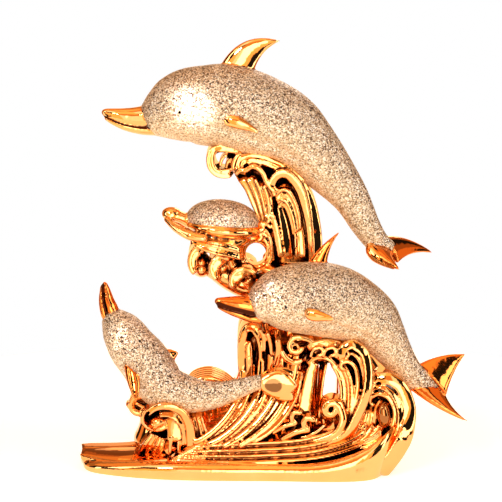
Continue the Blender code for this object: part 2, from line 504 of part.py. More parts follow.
def base_water(skin):
    """Long ridges that run over the base and up to the right."""
    mass(skin, [(-72, -14, 0), (-30, 0, 3), (34, 0, 5), (76, 0, 3), (112, 0, 0)],
         wide=(6, 11, 13, 11, 7), deep=(24, 42, 48, 46, 38), sides=24)
    mass(skin, [(42, 2, -2), (65, 2, 9), (84, 2, 10), (106, 2, 6)],
         wide=(16, 15, 15, 13), deep=(44, 42, 40, 36))
    mass(skin, [(34, -26, 1), (65, -26, 6), (91, -22, 13), (109, -16, 21)],
         wide=(8, 11, 13, 12), deep=(26, 29, 29, 26))
    flow(skin, [[(-55, -46, 10), (-26, -52, 11), (17, -55, 12), (60, -54, 16), (89, -46, 23),
                 (103, -34, 32)],
                [(-45, -42, 17), (-21, -46, 22), (12, -49, 26), (48, -47, 28), (75, -42, 36),
                 (87, -34, 48)]], count=3, deep=9, swell=0.42)
    flow(skin, [[(-120, -20, 8), (-99, -34, 8), (-76, -40, 9), (-55, -42, 13)],
                [(-122, -12, 8), (-101, -10, 8.5), (-81, -6, 9.5), (-66, 2, 14)]],
         count=4, deep=7, swell=0.6, back=False)
    rib(skin, [(-58, -46, 9), (-51, -46, 13), (-40, -44, 18), (-29, -42, 23)],
        wide=(2.2, 2.8, 3, 2.4), deep=(7, 8, 8, 7))


# Casting

def sculpt():
    skin = bmesh.new()
    for form in (top_dolphin, middle_dolphin, small_dolphin, turtle, column, top_scroll, turtle_wave,
                 great_wave, barrel, back_crest, right_crests, tangled_water, base, base_water):
        form(skin)
    bmesh.ops.recalc_face_normals(skin, faces=skin.faces)
    return skin


def placed(name, skin):
    mesh = bpy.data.meshes.new(name)
    skin.to_mesh(mesh)
    skin.free()
    thing = bpy.data.objects.new(name, mesh)
    bpy.context.scene.collection.objects.link(thing)
    return thing


def fused(skin):
    """One skin round all the overlapping forms, softened as glaze softens a casting."""
    rough = placed("rough_forms", skin)
    grid = rough.modifiers.new("fuse", "REMESH")
    grid.mode = "VOXEL"
    grid.voxel_size = GRAIN
    soften = rough.modifiers.new("soften", "SMOOTH")
    soften.iterations = 2
    whole = bmesh.new()
    whole.from_mesh(rough.evaluated_get(bpy.context.evaluated_depsgraph_get()).to_mesh())
    bpy.data.objects.remove(rough)
    return outer_skin(whole)


def outer_skin(whole):
    """Drops the small closed pockets that the overlapping forms leave inside."""
    islands = []
    left = set(whole.verts)
    while left:
        island = {left.pop()}
        edge_of_island = list(island)
        while edge_of_island:
            corner = edge_of_island.pop()
            found = {edge.other_vert(corner) for edge in corner.link_edges} & left
            left -= found
            island |= found
            edge_of_island += found
        islands.append(island)
    islands.sort(key=len)
    pockets = [corner for island in islands[:-1] for corner in island]
    bmesh.ops.delete(whole, geom=pockets, context="VERTS")
    return whole


def below_the_base():
    """A block whose top face cuts the underside flat at z = 0."""
    block = bmesh.new()
    bmesh.ops.create_cube(block, size=1)
    bmesh.ops.scale(block, vec=(2 * BASE_LENGTH, 3 * BASE_DEPTH, HEIGHT / 6), verts=block.verts)
    bmesh.ops.translate(block, vec=(0, 0, -HEIGHT / 12), verts=block.verts)
    cutter = placed("below_the_base", block)
    cutter.hide_render = True
    cutter.display_type = "WIRE"
    return cutter


def plated_ceramic():
    material = bpy.data.materials.new("plated_ceramic")
    material.use_nodes = True
    shader = material.node_tree.nodes["Principled BSDF"]
    shader.inputs["Base Color"].default_value = (0.90, 0.55, 0.32, 1)
    shader.inputs["Metallic"].default_value = 1
    shader.inputs["Roughness"].default_value = 0.12
    return material


def build():
    for thing in list(bpy.data.objects):
        bpy.data.objects.remove(thing)
    skin = fused(sculpt())
    faces = 2 * len(skin.faces)
    statue = placed("dolphin_statue", skin)
    thin = statue.modifiers.new("thin out", "DECIMATE")
    thin.ratio = TRIANGLES / faces
    cut = statue.modifiers.new("flat underside", "BOOLEAN")
    cut.operation = "DIFFERENCE"
    cut.solver = "EXACT"
    cut.object = below_the_base()
    statue.data.materials.append(plated_ceramic())
    statue.data.shade_smooth()


build()
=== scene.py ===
"""The finish of the dolphin statue: plated waves, fins and beaks, and sanded skins.

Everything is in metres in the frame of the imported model, seen from the front along +Y.
"""
import math

import bmesh
import bpy
import numpy as np
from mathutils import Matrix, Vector
from mathutils.bvhtree import BVHTree


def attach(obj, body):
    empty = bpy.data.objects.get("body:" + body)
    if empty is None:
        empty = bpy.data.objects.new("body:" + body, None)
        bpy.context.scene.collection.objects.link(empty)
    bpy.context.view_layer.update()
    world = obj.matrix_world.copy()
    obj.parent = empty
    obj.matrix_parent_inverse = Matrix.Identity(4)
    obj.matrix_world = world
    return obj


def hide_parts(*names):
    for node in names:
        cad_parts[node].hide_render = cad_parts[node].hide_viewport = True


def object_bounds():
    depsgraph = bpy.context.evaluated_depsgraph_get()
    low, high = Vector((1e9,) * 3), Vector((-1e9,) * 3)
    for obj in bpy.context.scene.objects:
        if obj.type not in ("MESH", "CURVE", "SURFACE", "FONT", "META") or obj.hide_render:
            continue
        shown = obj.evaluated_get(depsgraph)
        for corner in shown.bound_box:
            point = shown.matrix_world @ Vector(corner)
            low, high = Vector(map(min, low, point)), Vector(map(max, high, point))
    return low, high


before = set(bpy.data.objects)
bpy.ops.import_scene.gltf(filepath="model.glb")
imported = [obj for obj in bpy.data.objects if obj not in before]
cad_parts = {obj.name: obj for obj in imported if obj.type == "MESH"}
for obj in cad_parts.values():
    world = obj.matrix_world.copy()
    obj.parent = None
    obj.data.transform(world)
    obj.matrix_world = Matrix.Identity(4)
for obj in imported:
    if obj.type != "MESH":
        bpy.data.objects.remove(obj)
CAD_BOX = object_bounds()

UNIT = 0.001            # the points and widths below are in millimetres
MIRROR = 4              # depth of the upright plane that the front waves are repeated behind
BASE_OUTLINE = ((-1, -0.2), (-0.9, -0.6), (-0.44, -0.91), (0.25, -0.98), (0.76, -1), (0.95, -0.74),
                (1, -0.06), (0.93, 0.67), (0.5, 1), (-0.2, 0.82), (-0.7, 0.18), (-0.97, -0.1))
# The band's section as (share of its height, share of its rounding).
BAND_PROFILE = ((-0.3, 0.9), (-0.15, 0.4), (0, 0.1), (0.2, 0), (0.55, 0), (0.75, 0.16), (0.9, 0.47),
                (1, 1))

BODY_HEIGHTS = ((0, 0.42), (0.04, 0.62), (0.08, 0.77), (0.14, 0.88), (0.21, 0.95), (0.29, 0.99),
                (0.38, 0.97), (0.48, 0.87), (0.56, 0.74), (0.66, 0.59), (0.78, 0.43), (0.88, 0.34),
                (0.95, 0.28), (1, 0.22))
BODY_BREADTHS = ((0, 0.98), (0.1, 0.9), (0.3, 0.84), (0.6, 0.78), (0.85, 0.62), (1, 0.5))
BROW = 0.25
JAW_HEIGHTS = ((0, 1.0), (0.3, 0.89), (0.6, 0.68), (0.8, 0.49), (0.93, 0.33), (1, 0.2))
FLIPPER_WIDTHS = (3.2, 4.6, 4.6, 3.6, 2.4, 1.4)
FLIPPER_DEPTHS = (3.0, 3.6, 3.4, 2.8, 2.2, 1.4)
BASE_LENGTH = 0.233
BASE_DEPTH = 0.117
BAND_HEIGHT = 0.0126
BAND_ROUNDING = 0.0055
BASE_CENTRE = (-0.0085, -0.0015)
TIP_START = 0.4
TIP_DROP = 0.5
CLIMB_START = 0.35
CLIMB_POWER = 2.6
CLIMB = 0.029
CLIMB_LEAN = 0.015
HOLLOWED = 0.84

WAVE_GRAIN = 0.00068     # cell of the grid that fuses the waves
SKIN_GRAIN = 0.00085     # and the one for the animals
MOST_TRIANGLES = 166000                       # left on any one piece


# Curves and frames

def unit(vectors):
    """The vectors, each one long."""
    return vectors / np.linalg.norm(vectors, axis=-1, keepdims=True)


def at(*points):
    """Points in millimetres, as metres."""
    return np.array(points, float) * UNIT


def smooth_curve(points, steps=20):
    """A curve through the points, and the length run along it at each step."""
    p = np.array(points, float)
    led = np.vstack([2 * p[0] - p[1], p, 2 * p[-1] - p[-2]])
    t = np.linspace(0, 1, steps, endpoint=False)[:, None]
    spans = [b + 0.5 * t * (c - a + t * (2 * a - 5 * b + 4 * c - d + t * (3 * (b - c) + d - a)))
             for a, b, c, d in zip(led, led[1:], led[2:], led[3:])]
    curve = np.vstack(spans + [p[-1:]])
    run = np.concatenate([[0], np.cumsum(np.linalg.norm(np.diff(curve, axis=0), axis=1))])
    return curve, run


def along(points, shares):
    """Where a smooth curve through the points is, at shares of its length."""
    curve, run = smooth_curve(points)
    return np.column_stack([np.interp(np.asarray(shares) * run[-1], run, curve[:, k]) for k in range(3)])


def spread(values, shares):
    """One value, values in even steps along a form, or (share, value) pairs, read at the shares."""
    v = np.atleast_1d(np.array(values, float))
    if v.ndim == 1:
        return np.interp(shares, np.linspace(0, 1, len(v)), v)
    return np.interp(shares, v[:, 0], v[:, 1])


def frames(path):
    """Up and sideways directions along a path, sideways as near the depth axis as it can be."""
    forward = unit(np.gradient(path, axis=0))
    depth = np.array([0, 1, 0])
    side = unit(depth - (forward @ depth)[:, None] * forward)
    return np.cross(forward, side), side


def coil(path, centre, turns, shrink):
    """Leads a path on round a centre in the upright plane, shrinking its arm as it turns."""
    arm = path[-1] - centre
    more = []
    for share in np.linspace(0, 1, int(16 * abs(turns)) + 2)[1:]:
        angle = -turns * 2 * math.pi * share
        x = arm[0] * math.cos(angle) - arm[2] * math.sin(angle)
        z = arm[0] * math.sin(angle) + arm[2] * math.cos(angle)
        more.append(centre + shrink ** share * np.array([x, arm[1], z]))
    return np.vstack([path, more])


def behind(path):
    """The path mirrored to the back of the waves."""
    back = path.copy()
    back[:, 1] = 2 * MIRROR * UNIT - back[:, 1]
    return back


# Solid forms

LONGEST_END = 0.45      # share of a ridge that one round end may take
RING_GAP = 1.4          # millimetres between the rings of a ridge
END_RINGS = (0.004, 0.05, 0.16, 0.35, 0.65, 1.0)
LEAST_STEP = 0.0006
STRAND_SUNK = 1.0       # millimetres by which the inner strands of a broad ridge lie lower
STRAND_OVERLAP = 1.06
ONE_STRAND = 2.9        # half widths up to which a ridge is one strand, and two
TWO_STRANDS = 5
THINNEST = 0.9          # half width of a fan's thinnest ridge
FIN_STEPS = list(np.linspace(0, 0.9, 22)) + [0.93, 0.95, 0.97, 0.98, 0.99, 0.996]


def loft(skin, rings):
    """A closed tube through rings of as many points each."""
    loops = [[skin.verts.new(point) for point in ring] for ring in rings]
    for near, far in zip(loops, loops[1:]):
        for i in range(len(near)):
            j = (i + 1) % len(near)
            skin.faces.new((near[i], near[j], far[j], far[i]))
    skin.faces.new(loops[0][::-1])
    skin.faces.new(loops[-1])


def sweep(skin, path, wide, deep, sides=20, nose=None, lean=0.0):
    """An oval section carried along a path in metres, with round ends.

    With a nose, the section is straight sided and only its front and back are rounded, to that
    share of its half width. They slope away to one side by the lean.
    """
    length = smooth_curve(path)[1][-1] / UNIT
    ends = [min(LONGEST_END, spread(wide, s) / length, spread(deep, s) / length) for s in (0.0, 1.0)]
    shares = list(np.linspace(0, 1, int(12 + length / RING_GAP))[1:-1])
    for part in END_RINGS:
        shares += [ends[0] * part, 1 - ends[1] * part]
    shares = np.unique(np.round(shares, 6))
    shares = shares[np.concatenate([[True], np.diff(shares) > LEAST_STEP])]
    line = along(path, shares)
    up, side = frames(line)
    near = np.minimum(shares / ends[0], (1 - shares) / ends[1]).clip(0, 1)
    cap = np.sqrt(1 - (1 - near) ** 2) * UNIT
    w, d = spread(wide, shares) * cap, spread(deep, shares) * cap
    slope = spread(lean, shares)
    turn = np.arange(sides) * 2 * math.pi / sides
    rings = []
    for i in range(len(shares)):
        reach = np.sin(turn) * d[i]
        if nose is not None:
            round_part = min(d[i], w[i] * nose)
            face = np.sign(np.round(np.sin(turn), 6))
            reach = np.sin(turn) * round_part + face * (d[i] - round_part)
            reach -= face * slope[i] * (np.cos(turn) + 1) * w[i] * 0.5
        rings.append(line[i] + np.outer(np.cos(turn), up[i] * w[i]) + np.outer(reach, side[i]))
    loft(skin, rings)


def mass(skin, points, wide, deep, sides=24):
    sweep(skin, at(*points), wide, deep, sides)


def rib(skin, points, wide, deep, curl=None, back=True, strands=None, nose=0.7, lean=0.0):
    """A ridge of water whose front face runs through the points, curling up at its end.

    curl is the curl's centre across and up, its turns and what is left of its radius. With back, the
    ridge is repeated at the back of the waves. A broad ridge is laid in strands, the inner ones sunk.
    """
    path = at(*points)
    if curl:
        x, z, turns, shrink = curl
        path = coil(path, at((x, points[-1][1], z))[0], turns, shrink)
    shares = np.linspace(0, 1, len(path))
    broad = float(np.mean(spread(wide, shares)))
    if strands is None:
        strands = 1 if broad < ONE_STRAND else 2 if broad < TWO_STRANDS else 3
    fine = along(path, np.linspace(0, 1, 3 * len(path)))
    shares = np.linspace(0, 1, len(fine))
    w, d = spread(wide, shares), spread(deep, shares)
    up = frames(fine)[0]
    each = w / strands * (STRAND_OVERLAP if strands > 1 else 1)
    for k in range(strands):
        across = (2 * k + 1) / strands - 1
        depth = d - (STRAND_SUNK if abs(across) < 1 - 1.5 / strands else 0)
        line = fine + up * (across * w * UNIT)[:, None]
        line[:, 1] += d * UNIT
        for path in [line, behind(line)] if back else [line]:
            sweep(skin, path, each, depth, nose=nose, lean=lean)


def strand(skin, points, wide, deep, **shape):
    """A ridge that shows at the front alone."""
    rib(skin, points, wide, deep, back=False, **shape)


def flow(skin, guides, count, deep, swell=0.52, fade=0.75, back=True, waver=0.0, nose=0.8, leans=(0,)):
    """A fan of ridges between guide lines; swell is a ridge's half width per gap.

    Every second ridge is sunk by waver, and the leans are taken in turn.
    """
    shares = np.linspace(0, 1, 33)
    lines = np.array([along(at(*guide), shares) for guide in guides])
    gap = sum(np.linalg.norm(b - a, axis=1) for a, b in zip(lines, lines[1:])) / (count - 1) / UNIT
    taper = 1 - (1 - fade) * np.abs(2 * shares - 1) ** 4
    w = np.maximum(gap * swell * taper, THINNEST)
    for number, place in enumerate(np.linspace(0, len(guides) - 1, count)):
        low = min(int(place), len(guides) - 2)
        line = lines[low] + (lines[low + 1] - lines[low]) * (place - low)
        d = np.maximum((deep - waver * (number % 2)) * taper, w)
        line[:, 1] += deep * taper * UNIT
        for path in [line, behind(line)] if back else [line]:
            sweep(skin, path, w, d, nose=nose, lean=leans[number % len(leans)])


def ball(skin, centre, radii, tip=0.0, around=32, rings=20):
    """An ellipsoid, tipped about the depth axis by so many degrees."""
    tip = math.radians(tip)
    turn = np.arange(around) * 2 * math.pi / around
    loops = []
    for polar in np.linspace(0.02, 0.98, rings) * math.pi:
        x = radii[0] * math.sin(polar) * np.cos(turn)
        y = radii[1] * math.sin(polar) * np.sin(turn)
        z = radii[2] * math.cos(polar)
        across, up = x * math.cos(tip) + z * math.sin(tip), z * math.cos(tip) - x * math.sin(tip)
        loops.append((np.column_stack([across, y, up]) + centre) * UNIT)
    loft(skin, loops)


def blade(skin, front, back, tip, thick, lead, trail, sides=24):
    """A fin from its root's front and back corners to its tip.

    lead and trail are how far each edge bows, per length, the trailing edge hollow if positive.
    """
    front, back, tip = at(front, back, tip)
    thick = thick * UNIT
    normal = unit(np.cross(back - front, tip - front))

    def bend(root, other, bow):
        out = unit(np.cross(normal, tip - root))
        if np.dot(out, other - root) > 0:
            out = -out
        return (root + tip) / 2 + 2 * out * bow * np.linalg.norm(tip - root)

    lead_bend, trail_bend = bend(front, back, lead), bend(back, front, -trail)
    turn = np.arange(sides) * 2 * math.pi / sides
    rings = []
    for s in FIN_STEPS:
        left, right = ((1 - s) ** 2 * root + 2 * s * (1 - s) * middle + s * s * tip
                       for root, middle in ((front, lead_bend), (back, trail_bend)))
        half = (right - left) / 2
        width = max(np.linalg.norm(half), thick * 0.7 * math.sqrt(max(1 - s, 0.03)))
        depth = min(thick * (1 - 0.55 * s) * max(1 - s, 0.01) ** 0.2, width)
        rings.append((left + right) / 2 + np.outer(np.cos(turn), unit(half) * width)
                     + np.outer(np.sin(turn), normal * depth))
    loft(skin, rings)


# Animals

CREASE_DEPTH = 0.06     # the crease along a flank, in shares of the body's half height
CREASE_WIDTH = 0.10
CREASE_LEVEL = ((0, 0.3), (0.3, 0.5), (0.6, 0.45), (1, 0.3))
BROW_RINGS = (0.985, 0.95, 0.88, 0.75, 0.55, 0.3)
# Each jaw's rise, height and breadth in shares of the beak's half height, and how many of its steps.
JAWS = ((0.2, 0.8, 0.86, 27), (-0.62, 0.4, 0.78, 25))


def body(skin, spine, girth):
    """A dolphin's body from the beak's root to the flukes, girth being its half height.

    A shallow crease runs along each flank, from the corner of the mouth to the tail.
    """
    profile = smooth_curve([(share, size, 0) for share, size in BODY_HEIGHTS], 8)[0]
    shares = np.unique(np.concatenate([np.linspace(0, 1, 90), [0.003, 0.008, 0.016, 0.028]]))
    path = along(at(*spine), shares)
    up, side = frames(path)
    tall = np.interp(shares, profile[:, 0], profile[:, 1]) * girth * UNIT
    broad = tall * spread(BODY_BREADTHS, shares)
    turn = np.arange(72) * 2 * math.pi / 72
    brow = unit(path[0] - path[1]) * tall[0] * BROW

    def ring(centre, i, size):
        return (centre + np.outer(np.sin(turn) * size, up[i] * tall[i])
                + np.outer(np.cos(turn) * size, side[i] * broad[i]))

    rings = [ring(path[0] + brow * out, 0, math.sqrt(1 - out * out)) for out in BROW_RINGS]
    for i, share in enumerate(shares):
        off_crease = (-np.sin(turn) - spread(CREASE_LEVEL, share)) / CREASE_WIDTH
        dip = CREASE_DEPTH * math.sin(math.pi * min(1, share * 1.15)) ** 0.5
        rings.append(ring(path[i], i, 1 - dip * np.exp(-off_crease ** 2)))
    loft(skin, rings)


def plating(skin, beak, jaw, fins, flippers):
    """A dolphin's plated parts: its beak, fins, flukes and flippers."""
    beaked(skin, beak, jaw)
    for fin in fins:
        blade(skin, *fin)
    for points in flippers:
        sweep(skin, at(*points), FLIPPER_WIDTHS, FLIPPER_DEPTHS)


def beak_line(points, jaw, shares):
    """A beak's middle line, its upward directions and its half heights at the shares."""
    path = along(at(*points), shares)
    return path, -frames(path)[0], spread(JAW_HEIGHTS, shares) * jaw


def beaked(skin, points, jaw):
    """Two jaws that overlap low down, where their crossing draws the mouth."""
    path, up, tall = beak_line(points, jaw, np.linspace(0, 1, 27))
    for rise, height, breadth, end in JAWS:
        line = path[:end] + up[:end] * (tall[:end] * rise * UNIT)[:, None]
        sweep(skin, line, tall[:end] * height, tall[:end] * breadth, sides=28)


def mouth_shade_leaf(skin, points, jaw, level, height):
    """A thin leaf that comes out of the beak where its jaws meet; painted shade near it draws the mouth
    line.
    """
    path, up, tall = beak_line(points, jaw, np.linspace(0.06, 0.93, 24))
    sweep(skin, path + up * (tall * level * UNIT)[:, None], (height, height), tall * 0.9)


# A fin is its root's front and back corners, its tip, its half thickness and how far its edges bow.
# The mouth is its level, as a share of the jaw, and its half height; painted shade near it draws the
# mouth line. The red-shaded fins are those painted a redder shade, the jaw value how strong that painted
# red shade is on the beak, and the patch an oval darkened with painted shade.
DOLPHINS = {
    "top_dolphin": dict(
        spine=[(-71, -6, 262), (-63, -6, 265.5), (-52.5, -5, 269.5), (-42, -4, 272), (-30, -3, 272),
               (-12, -2, 271), (14, 0, 262), (30, 0, 254.5), (44, 0, 243), (61, 0, 225.5),
               (79, 1, 203.5), (91, 2, 182), (100, 3, 169), (110, 4, 161.5)],
        girth=32,
        beak=[(-64, -6, 262), (-75, -6, 261.5), (-86, -7, 262), (-96, -8, 264), (-107.5, -8, 267.5)],
        jaw=11.8,
        fins=[((-19, -2, 301), (6.5, -1, 296.5), (26.5, -1, 319.7), 5.2, 0.2, 0.12),
              ((92, 1, 167), (112, 3, 160), (116, -22, 151.5), 4.0, 0.08, 0.05),
              ((104, 8, 172), (116, 2, 152.5), (145.5, 30, 155), 4.0, 0.1, 0.1)],
        flippers=[[(-16, -25.5, 264.5), (-7, -28, 262.5), (1.5, -29.5, 259.5), (10, -32, 255.5)],
                  [(-16, 19.5, 261), (-7, 22.5, 259), (1.5, 24, 256), (9, 27, 252)],
                  [(94, 0, 167.5), (97, -6, 161), (105, -12, 155.5), (113, -17, 152)]],
        eyes=[(-48.3, -28, 269.6), (-48.3, 18, 269.6)],
        mouth=(-0.46, 0.15), mouth_shade_fade=0.3, red_shaded_fins=(1, 2), red_shaded_jaw=0.0),
    "middle_dolphin": dict(
        spine=[(8, -38, 126.5), (15, -37, 129.5), (26, -35, 132), (40, -32, 132.5), (55, -28, 131),
               (69, -25, 127.5), (82, -22, 121.5), (95, -20, 113.5), (104, -18, 101.5), (113, -16, 88),
               (122, -14, 75.5), (131, -13, 65.5), (139, -12, 59), (145, -12, 55.5)],
        girth=28,
        beak=[(15, -37, 124.5), (6, -38, 125.5), (-3, -40, 127.3), (-14, -41, 129.5), (-23, -42, 132)],
        jaw=11,
        fins=[((45, -28, 155.5), (61, -27, 155.5), (71, -26, 181.5), 4.6, 0.06, 0.08),
              ((132, -8, 77), (153, -17, 55), (168.5, -2, 83.5), 3.8, 0.07, 0.05),
              ((126, -16, 59), (151, -12, 58.5), (170, -26, 36.5), 3.8, 0.05, 0.1)],
        flippers=[[(44, -55, 126), (50, -57, 125), (57, -59, 124), (65, -62, 123)],
                  [(45, -4, 121), (52, -1, 119), (59, 2, 117), (68, 6, 115)]],
        eyes=[(29.9, -58.5, 130.1), (29.9, -11, 130.1)],
        mouth=(-0.22, 1.0), mouth_shade_fade=2.6, red_shaded_fins=(0, 1, 2), red_shaded_jaw=1.0),
    "small_dolphin": dict(
        spine=[(-102, -14, 115.5), (-97, -15, 109), (-91, -17, 101), (-85, -19, 92), (-77, -21, 83),
               (-70, -23, 73), (-60, -26, 63), (-47, -29, 59.5), (-33, -32, 58.5), (-19, -35, 60.5),
               (-5, -38, 65.5), (9, -42, 71), (18, -44, 74)],
        girth=19.5,
        beak=[(-101, -14, 114.5), (-103, -14, 120.5), (-105, -13, 127), (-106, -12, 134),
              (-107, -12, 141)],
        jaw=7.6,
        fins=[((-65, -21, 90.5), (-55, -22, 78.5), (-50, -21, 88.5), 3.6, 0.14, 0.05),
              ((-91, -31, 82), (-80, -37, 75), (-81.5, -47, 56.5), 3.2, 0.06, -0.1),
              ((12, -43, 77.5), (25, -46, 66), (37, -43, 80), 4.4, 0.18, -0.16),
              ((12, -44, 67), (25, -46, 78), (36, -46, 58.5), 4.4, 0.16, -0.16),
              ((12, -45.5, 77), (12, -45.5, 66), (39, -48, 70), 4.4, 0.27, -0.27)],
        shade_patch=[(21, -51, 70), (6, 1.2, 5.5)],
        flippers=[[(-89, -4, 75.5), (-86, -1, 67.5), (-84, 1, 59.5), (-84, 4, 51)]],
        eyes=[(-78.9, -33, 100.2), (-78.9, 2, 100.2)],
        mouth=(-0.3, 0.5), mouth_shade_fade=1.2, red_shaded_fins=(1,), red_shaded_jaw=1.0),
}


def turtle_shell(skin):
    """The sanded dome of the turtle's back."""
    ball(skin, (-17, -10, 187.5), (27.5, 22, 15), tip=5, around=48)


def turtle_body(skin):
    """The turtle's rim, head, neck and flippers, which are plated."""
    ball(skin, (-16, -10, 182), (29.5, 25, 7.5), tip=6, around=48)
    ball(skin, (-55, -12, 192), (7.8, 6, 5.4), tip=8)
    mass(skin, [(-55, -12, 191), (-48, -12, 189.5), (-38, -11, 184.5)], (4.2, 4.6, 6.5), (5, 6, 9))
    mass(skin, [(-60, -18, 190), (-51, -25, 183.5), (-40, -31, 179), (-28, -34, 177)],
        (1.8, 3.2, 4, 2.6), (3, 4, 5, 3.5))
    mass(skin, [(-57, -2, 186), (-50, 4, 180.5), (-40, 12, 174.5), (-23, 18, 169)],
        (1.8, 3.6, 4.6, 4), (3, 4, 5, 5))
    mass(skin, [(-39, -9, 176.5), (-26, -9, 172), (-9, -8, 171.5), (4, -6, 177.5)],
        (5, 7, 7, 6), (16, 19, 18, 14))
    mass(skin, [(1, -8, 182.5), (10, -4, 181.5), (20, 0, 178)], 7, (13, 12, 10))


# Waves

def column(skin):
    """The tall wave that carries the top dolphin, its crests breaking to the left."""
    mass(skin, [(36, 4, -12), (34, 4, 22), (35, 5, 61), (38, 5, 108), (37, 4, 153), (36, 4, 181),
        (30, 4, 203), (16, 4, 219), (2, 4, 224)], (28, 24, 21, 21, 20, 19, 17, 11, 6),
        (28, 24, 20, 18, 13, 12, 12, 12, 10))
    # the outer band, which turns from the right edge into the top crest
    rib(skin, [(54.2, -6, 153.2), (54.2, -7, 171.6), (52.1, -8, 186.8), (48, -10, 202.2),
        (41.5, -11, 213.6), (31.9, -12, 223.4)], (4, 4.1, 4.3, 4.2, 3.6), 12, lean=-0.85, nose=0.09,
        strands=1)
    rib(skin, [(43, -12, 214.5), (31.1, -13, 224.7), (17.8, -14, 231.5), (6.7, -14, 234.1),
        (-1.4, -15, 232.8)], (3.4, 4.2, 4.2, 3.6), (11, 10, 9, 8), curl=(0.1, 228.3, -0.5, 0.55),
        lean=-0.3, nose=0.6)
    rib(skin, [(57.3, -5, 154.5), (57.1, -6, 171.4), (54.8, -7, 187.4), (50.9, -8, 203.4),
        (44.2, -8, 215.4)], (0.8, 0.9, 0.9, 0.8), 8)
    # the broad gold arch inside it, and the dark gap under the arch
    rib(skin, [(49.6, -14, 156.2), (49, -16, 169.3), (47.6, -18, 184.7), (44.9, -20, 198.5),
        (40.9, -22, 211.5), (34.6, -23, 220.1), (28, -24, 223.6), (22.1, -24, 220.7), (19.6, -23, 214.6)],
        (1.7, 1.9, 2.2, 2.8, 3.3, 3.3, 3, 2.4), (9, 10, 12, 13, 12, 10, 8),
        curl=(23.6, 215.3, -0.35, 0.5), lean=(0.3, 0.3, 0.4, 0.7), nose=0.25)
    rib(skin, [(23, -15, 209.7), (28.9, -16, 213.9), (34.8, -17, 210.7), (39.6, -17, 201),
        (42.6, -16, 188.1), (44.2, -14, 172.8), (45.1, -13, 157.5)], (1.4, 1.8, 1.8, 1.6, 1.4),
        (9, 10, 10, 9, 8), lean=0.9, nose=0.15)
    # a bundle of fine strands that ends in two broad ones
    flow(skin, [[(20.7, -21, 204.6), (25.9, -21, 210.6), (32.1, -22, 210.7), (37.3, -21, 202.4),
        (40.3, -20, 191.8), (41.5, -19, 179.6)], [(23.7, -19, 195.3), (26.6, -19, 199.8),
        (30, -20, 199.2), (32.9, -19, 193.1), (35.2, -18, 184), (36.4, -17, 174.8)]], 4, 9, swell=0.36,
        waver=1.5, leans=(0.5, 0.2))
    rib(skin, [(41.5, -17, 185.3), (42.3, -16, 173.1), (43.3, -16, 158.8)], (1.6, 2.4, 2.5, 2.2), 8,
        lean=0.16, nose=0.15)
    rib(skin, [(36.7, -16, 191.1), (37.8, -17, 176.3), (39, -16, 158.8)], (1, 1.1, 1.1), 8, lean=0.9,
        nose=0.2)
    rib(skin, [(25.6, -18, 198.9), (28.5, -19, 187.1), (31.2, -18, 173.4), (33.1, -17, 159)],
        (2, 3, 3.4, 3), 9, lean=0.85, nose=0.12)
    rib(skin, [(18.9, -18, 195.9), (22.2, -19, 184.9), (24.5, -18, 173.4), (26.8, -17, 159.7)],
        (1.6, 2.4, 2.5, 2), 9, lean=-0.25, nose=0.2)
    rib(skin, [(14.9, -17, 182.3), (18.6, -18, 175), (20.1, -17, 167.3), (20.9, -15, 157.9)],
        (1.2, 1.3, 1.2), 8, lean=0.6)
    rib(skin, [(12.7, -15, 175.9), (16.4, -16, 170.1), (17.1, -15, 162.4), (16.4, -14, 156.2)],
        (1.1, 1.2, 1.1), 8, lean=-0.15)
    # the lobed ridge and the leg of strands that falls from it
    rib(skin, [(-6.6, -18, 222.8), (-3.6, -19, 225.5), (0.8, -20, 226), (5.2, -21, 228.4),
        (9.6, -22, 227.4), (13.3, -22, 223.3), (15.9, -23, 217.5), (20, -22, 212.2), (22.9, -22, 205.5)],
        (1.4, 1.7, 1.8, 1.9, 1.9, 1.8, 1.5), (9, 10, 10, 9))
    flow(skin, [[(-6.2, -9, 219.3), (0.1, -10, 211.2), (4.5, -12, 201.7), (8.6, -12, 192),
        (12.7, -13, 183.1)], [(4.5, -16, 222.5), (8.9, -18, 213.1), (12.2, -19, 202.8),
        (14.1, -18, 193.7), (15.6, -17, 183.8)], [(15.5, -20, 215.6), (18.1, -21, 207.6),
        (19.6, -22, 199.5), (19.3, -20, 191.8), (17.8, -18, 183.2)]], 8, 10, swell=0.46, waver=1.6,
        leans=(-0.3, 0.5))
    # curls where the leg meets the turtle
    strand(skin, [(20, -19, 181.9), (15.6, -19, 185.6), (11.2, -19, 185.6)], (1.2, 1.5), 8,
        curl=(11.2, 182.6, 0.7, 0.5))
    strand(skin, [(23, -20, 189.5), (19.3, -20, 192.5), (15.2, -20, 191.8)], (1.2, 1.5), 8,
        curl=(15.6, 188.8, 0.6, 0.5))
    strand(skin, [(17.1, -18, 175), (13.4, -18, 178.7), (8.9, -18, 178.3)], (1.2, 1.6), 8,
        curl=(9.7, 175.3, 0.7, 0.5))
    mass(skin, [(14, -4, 151), (26, -10, 149), (41, -12, 149), (56, -4, 151)], (4, 5, 5, 4),
        (11, 12, 12, 11))
    for x, y in ((17, 18), (28, 22), (38, 22), (47, 18), (55, 12)):
        mass(skin, [(x, y, 158), (x - 0.5, y + 3, 124), (x - 3, y + 6, 90)], (3.6, 4.6, 5), (4, 5, 5))


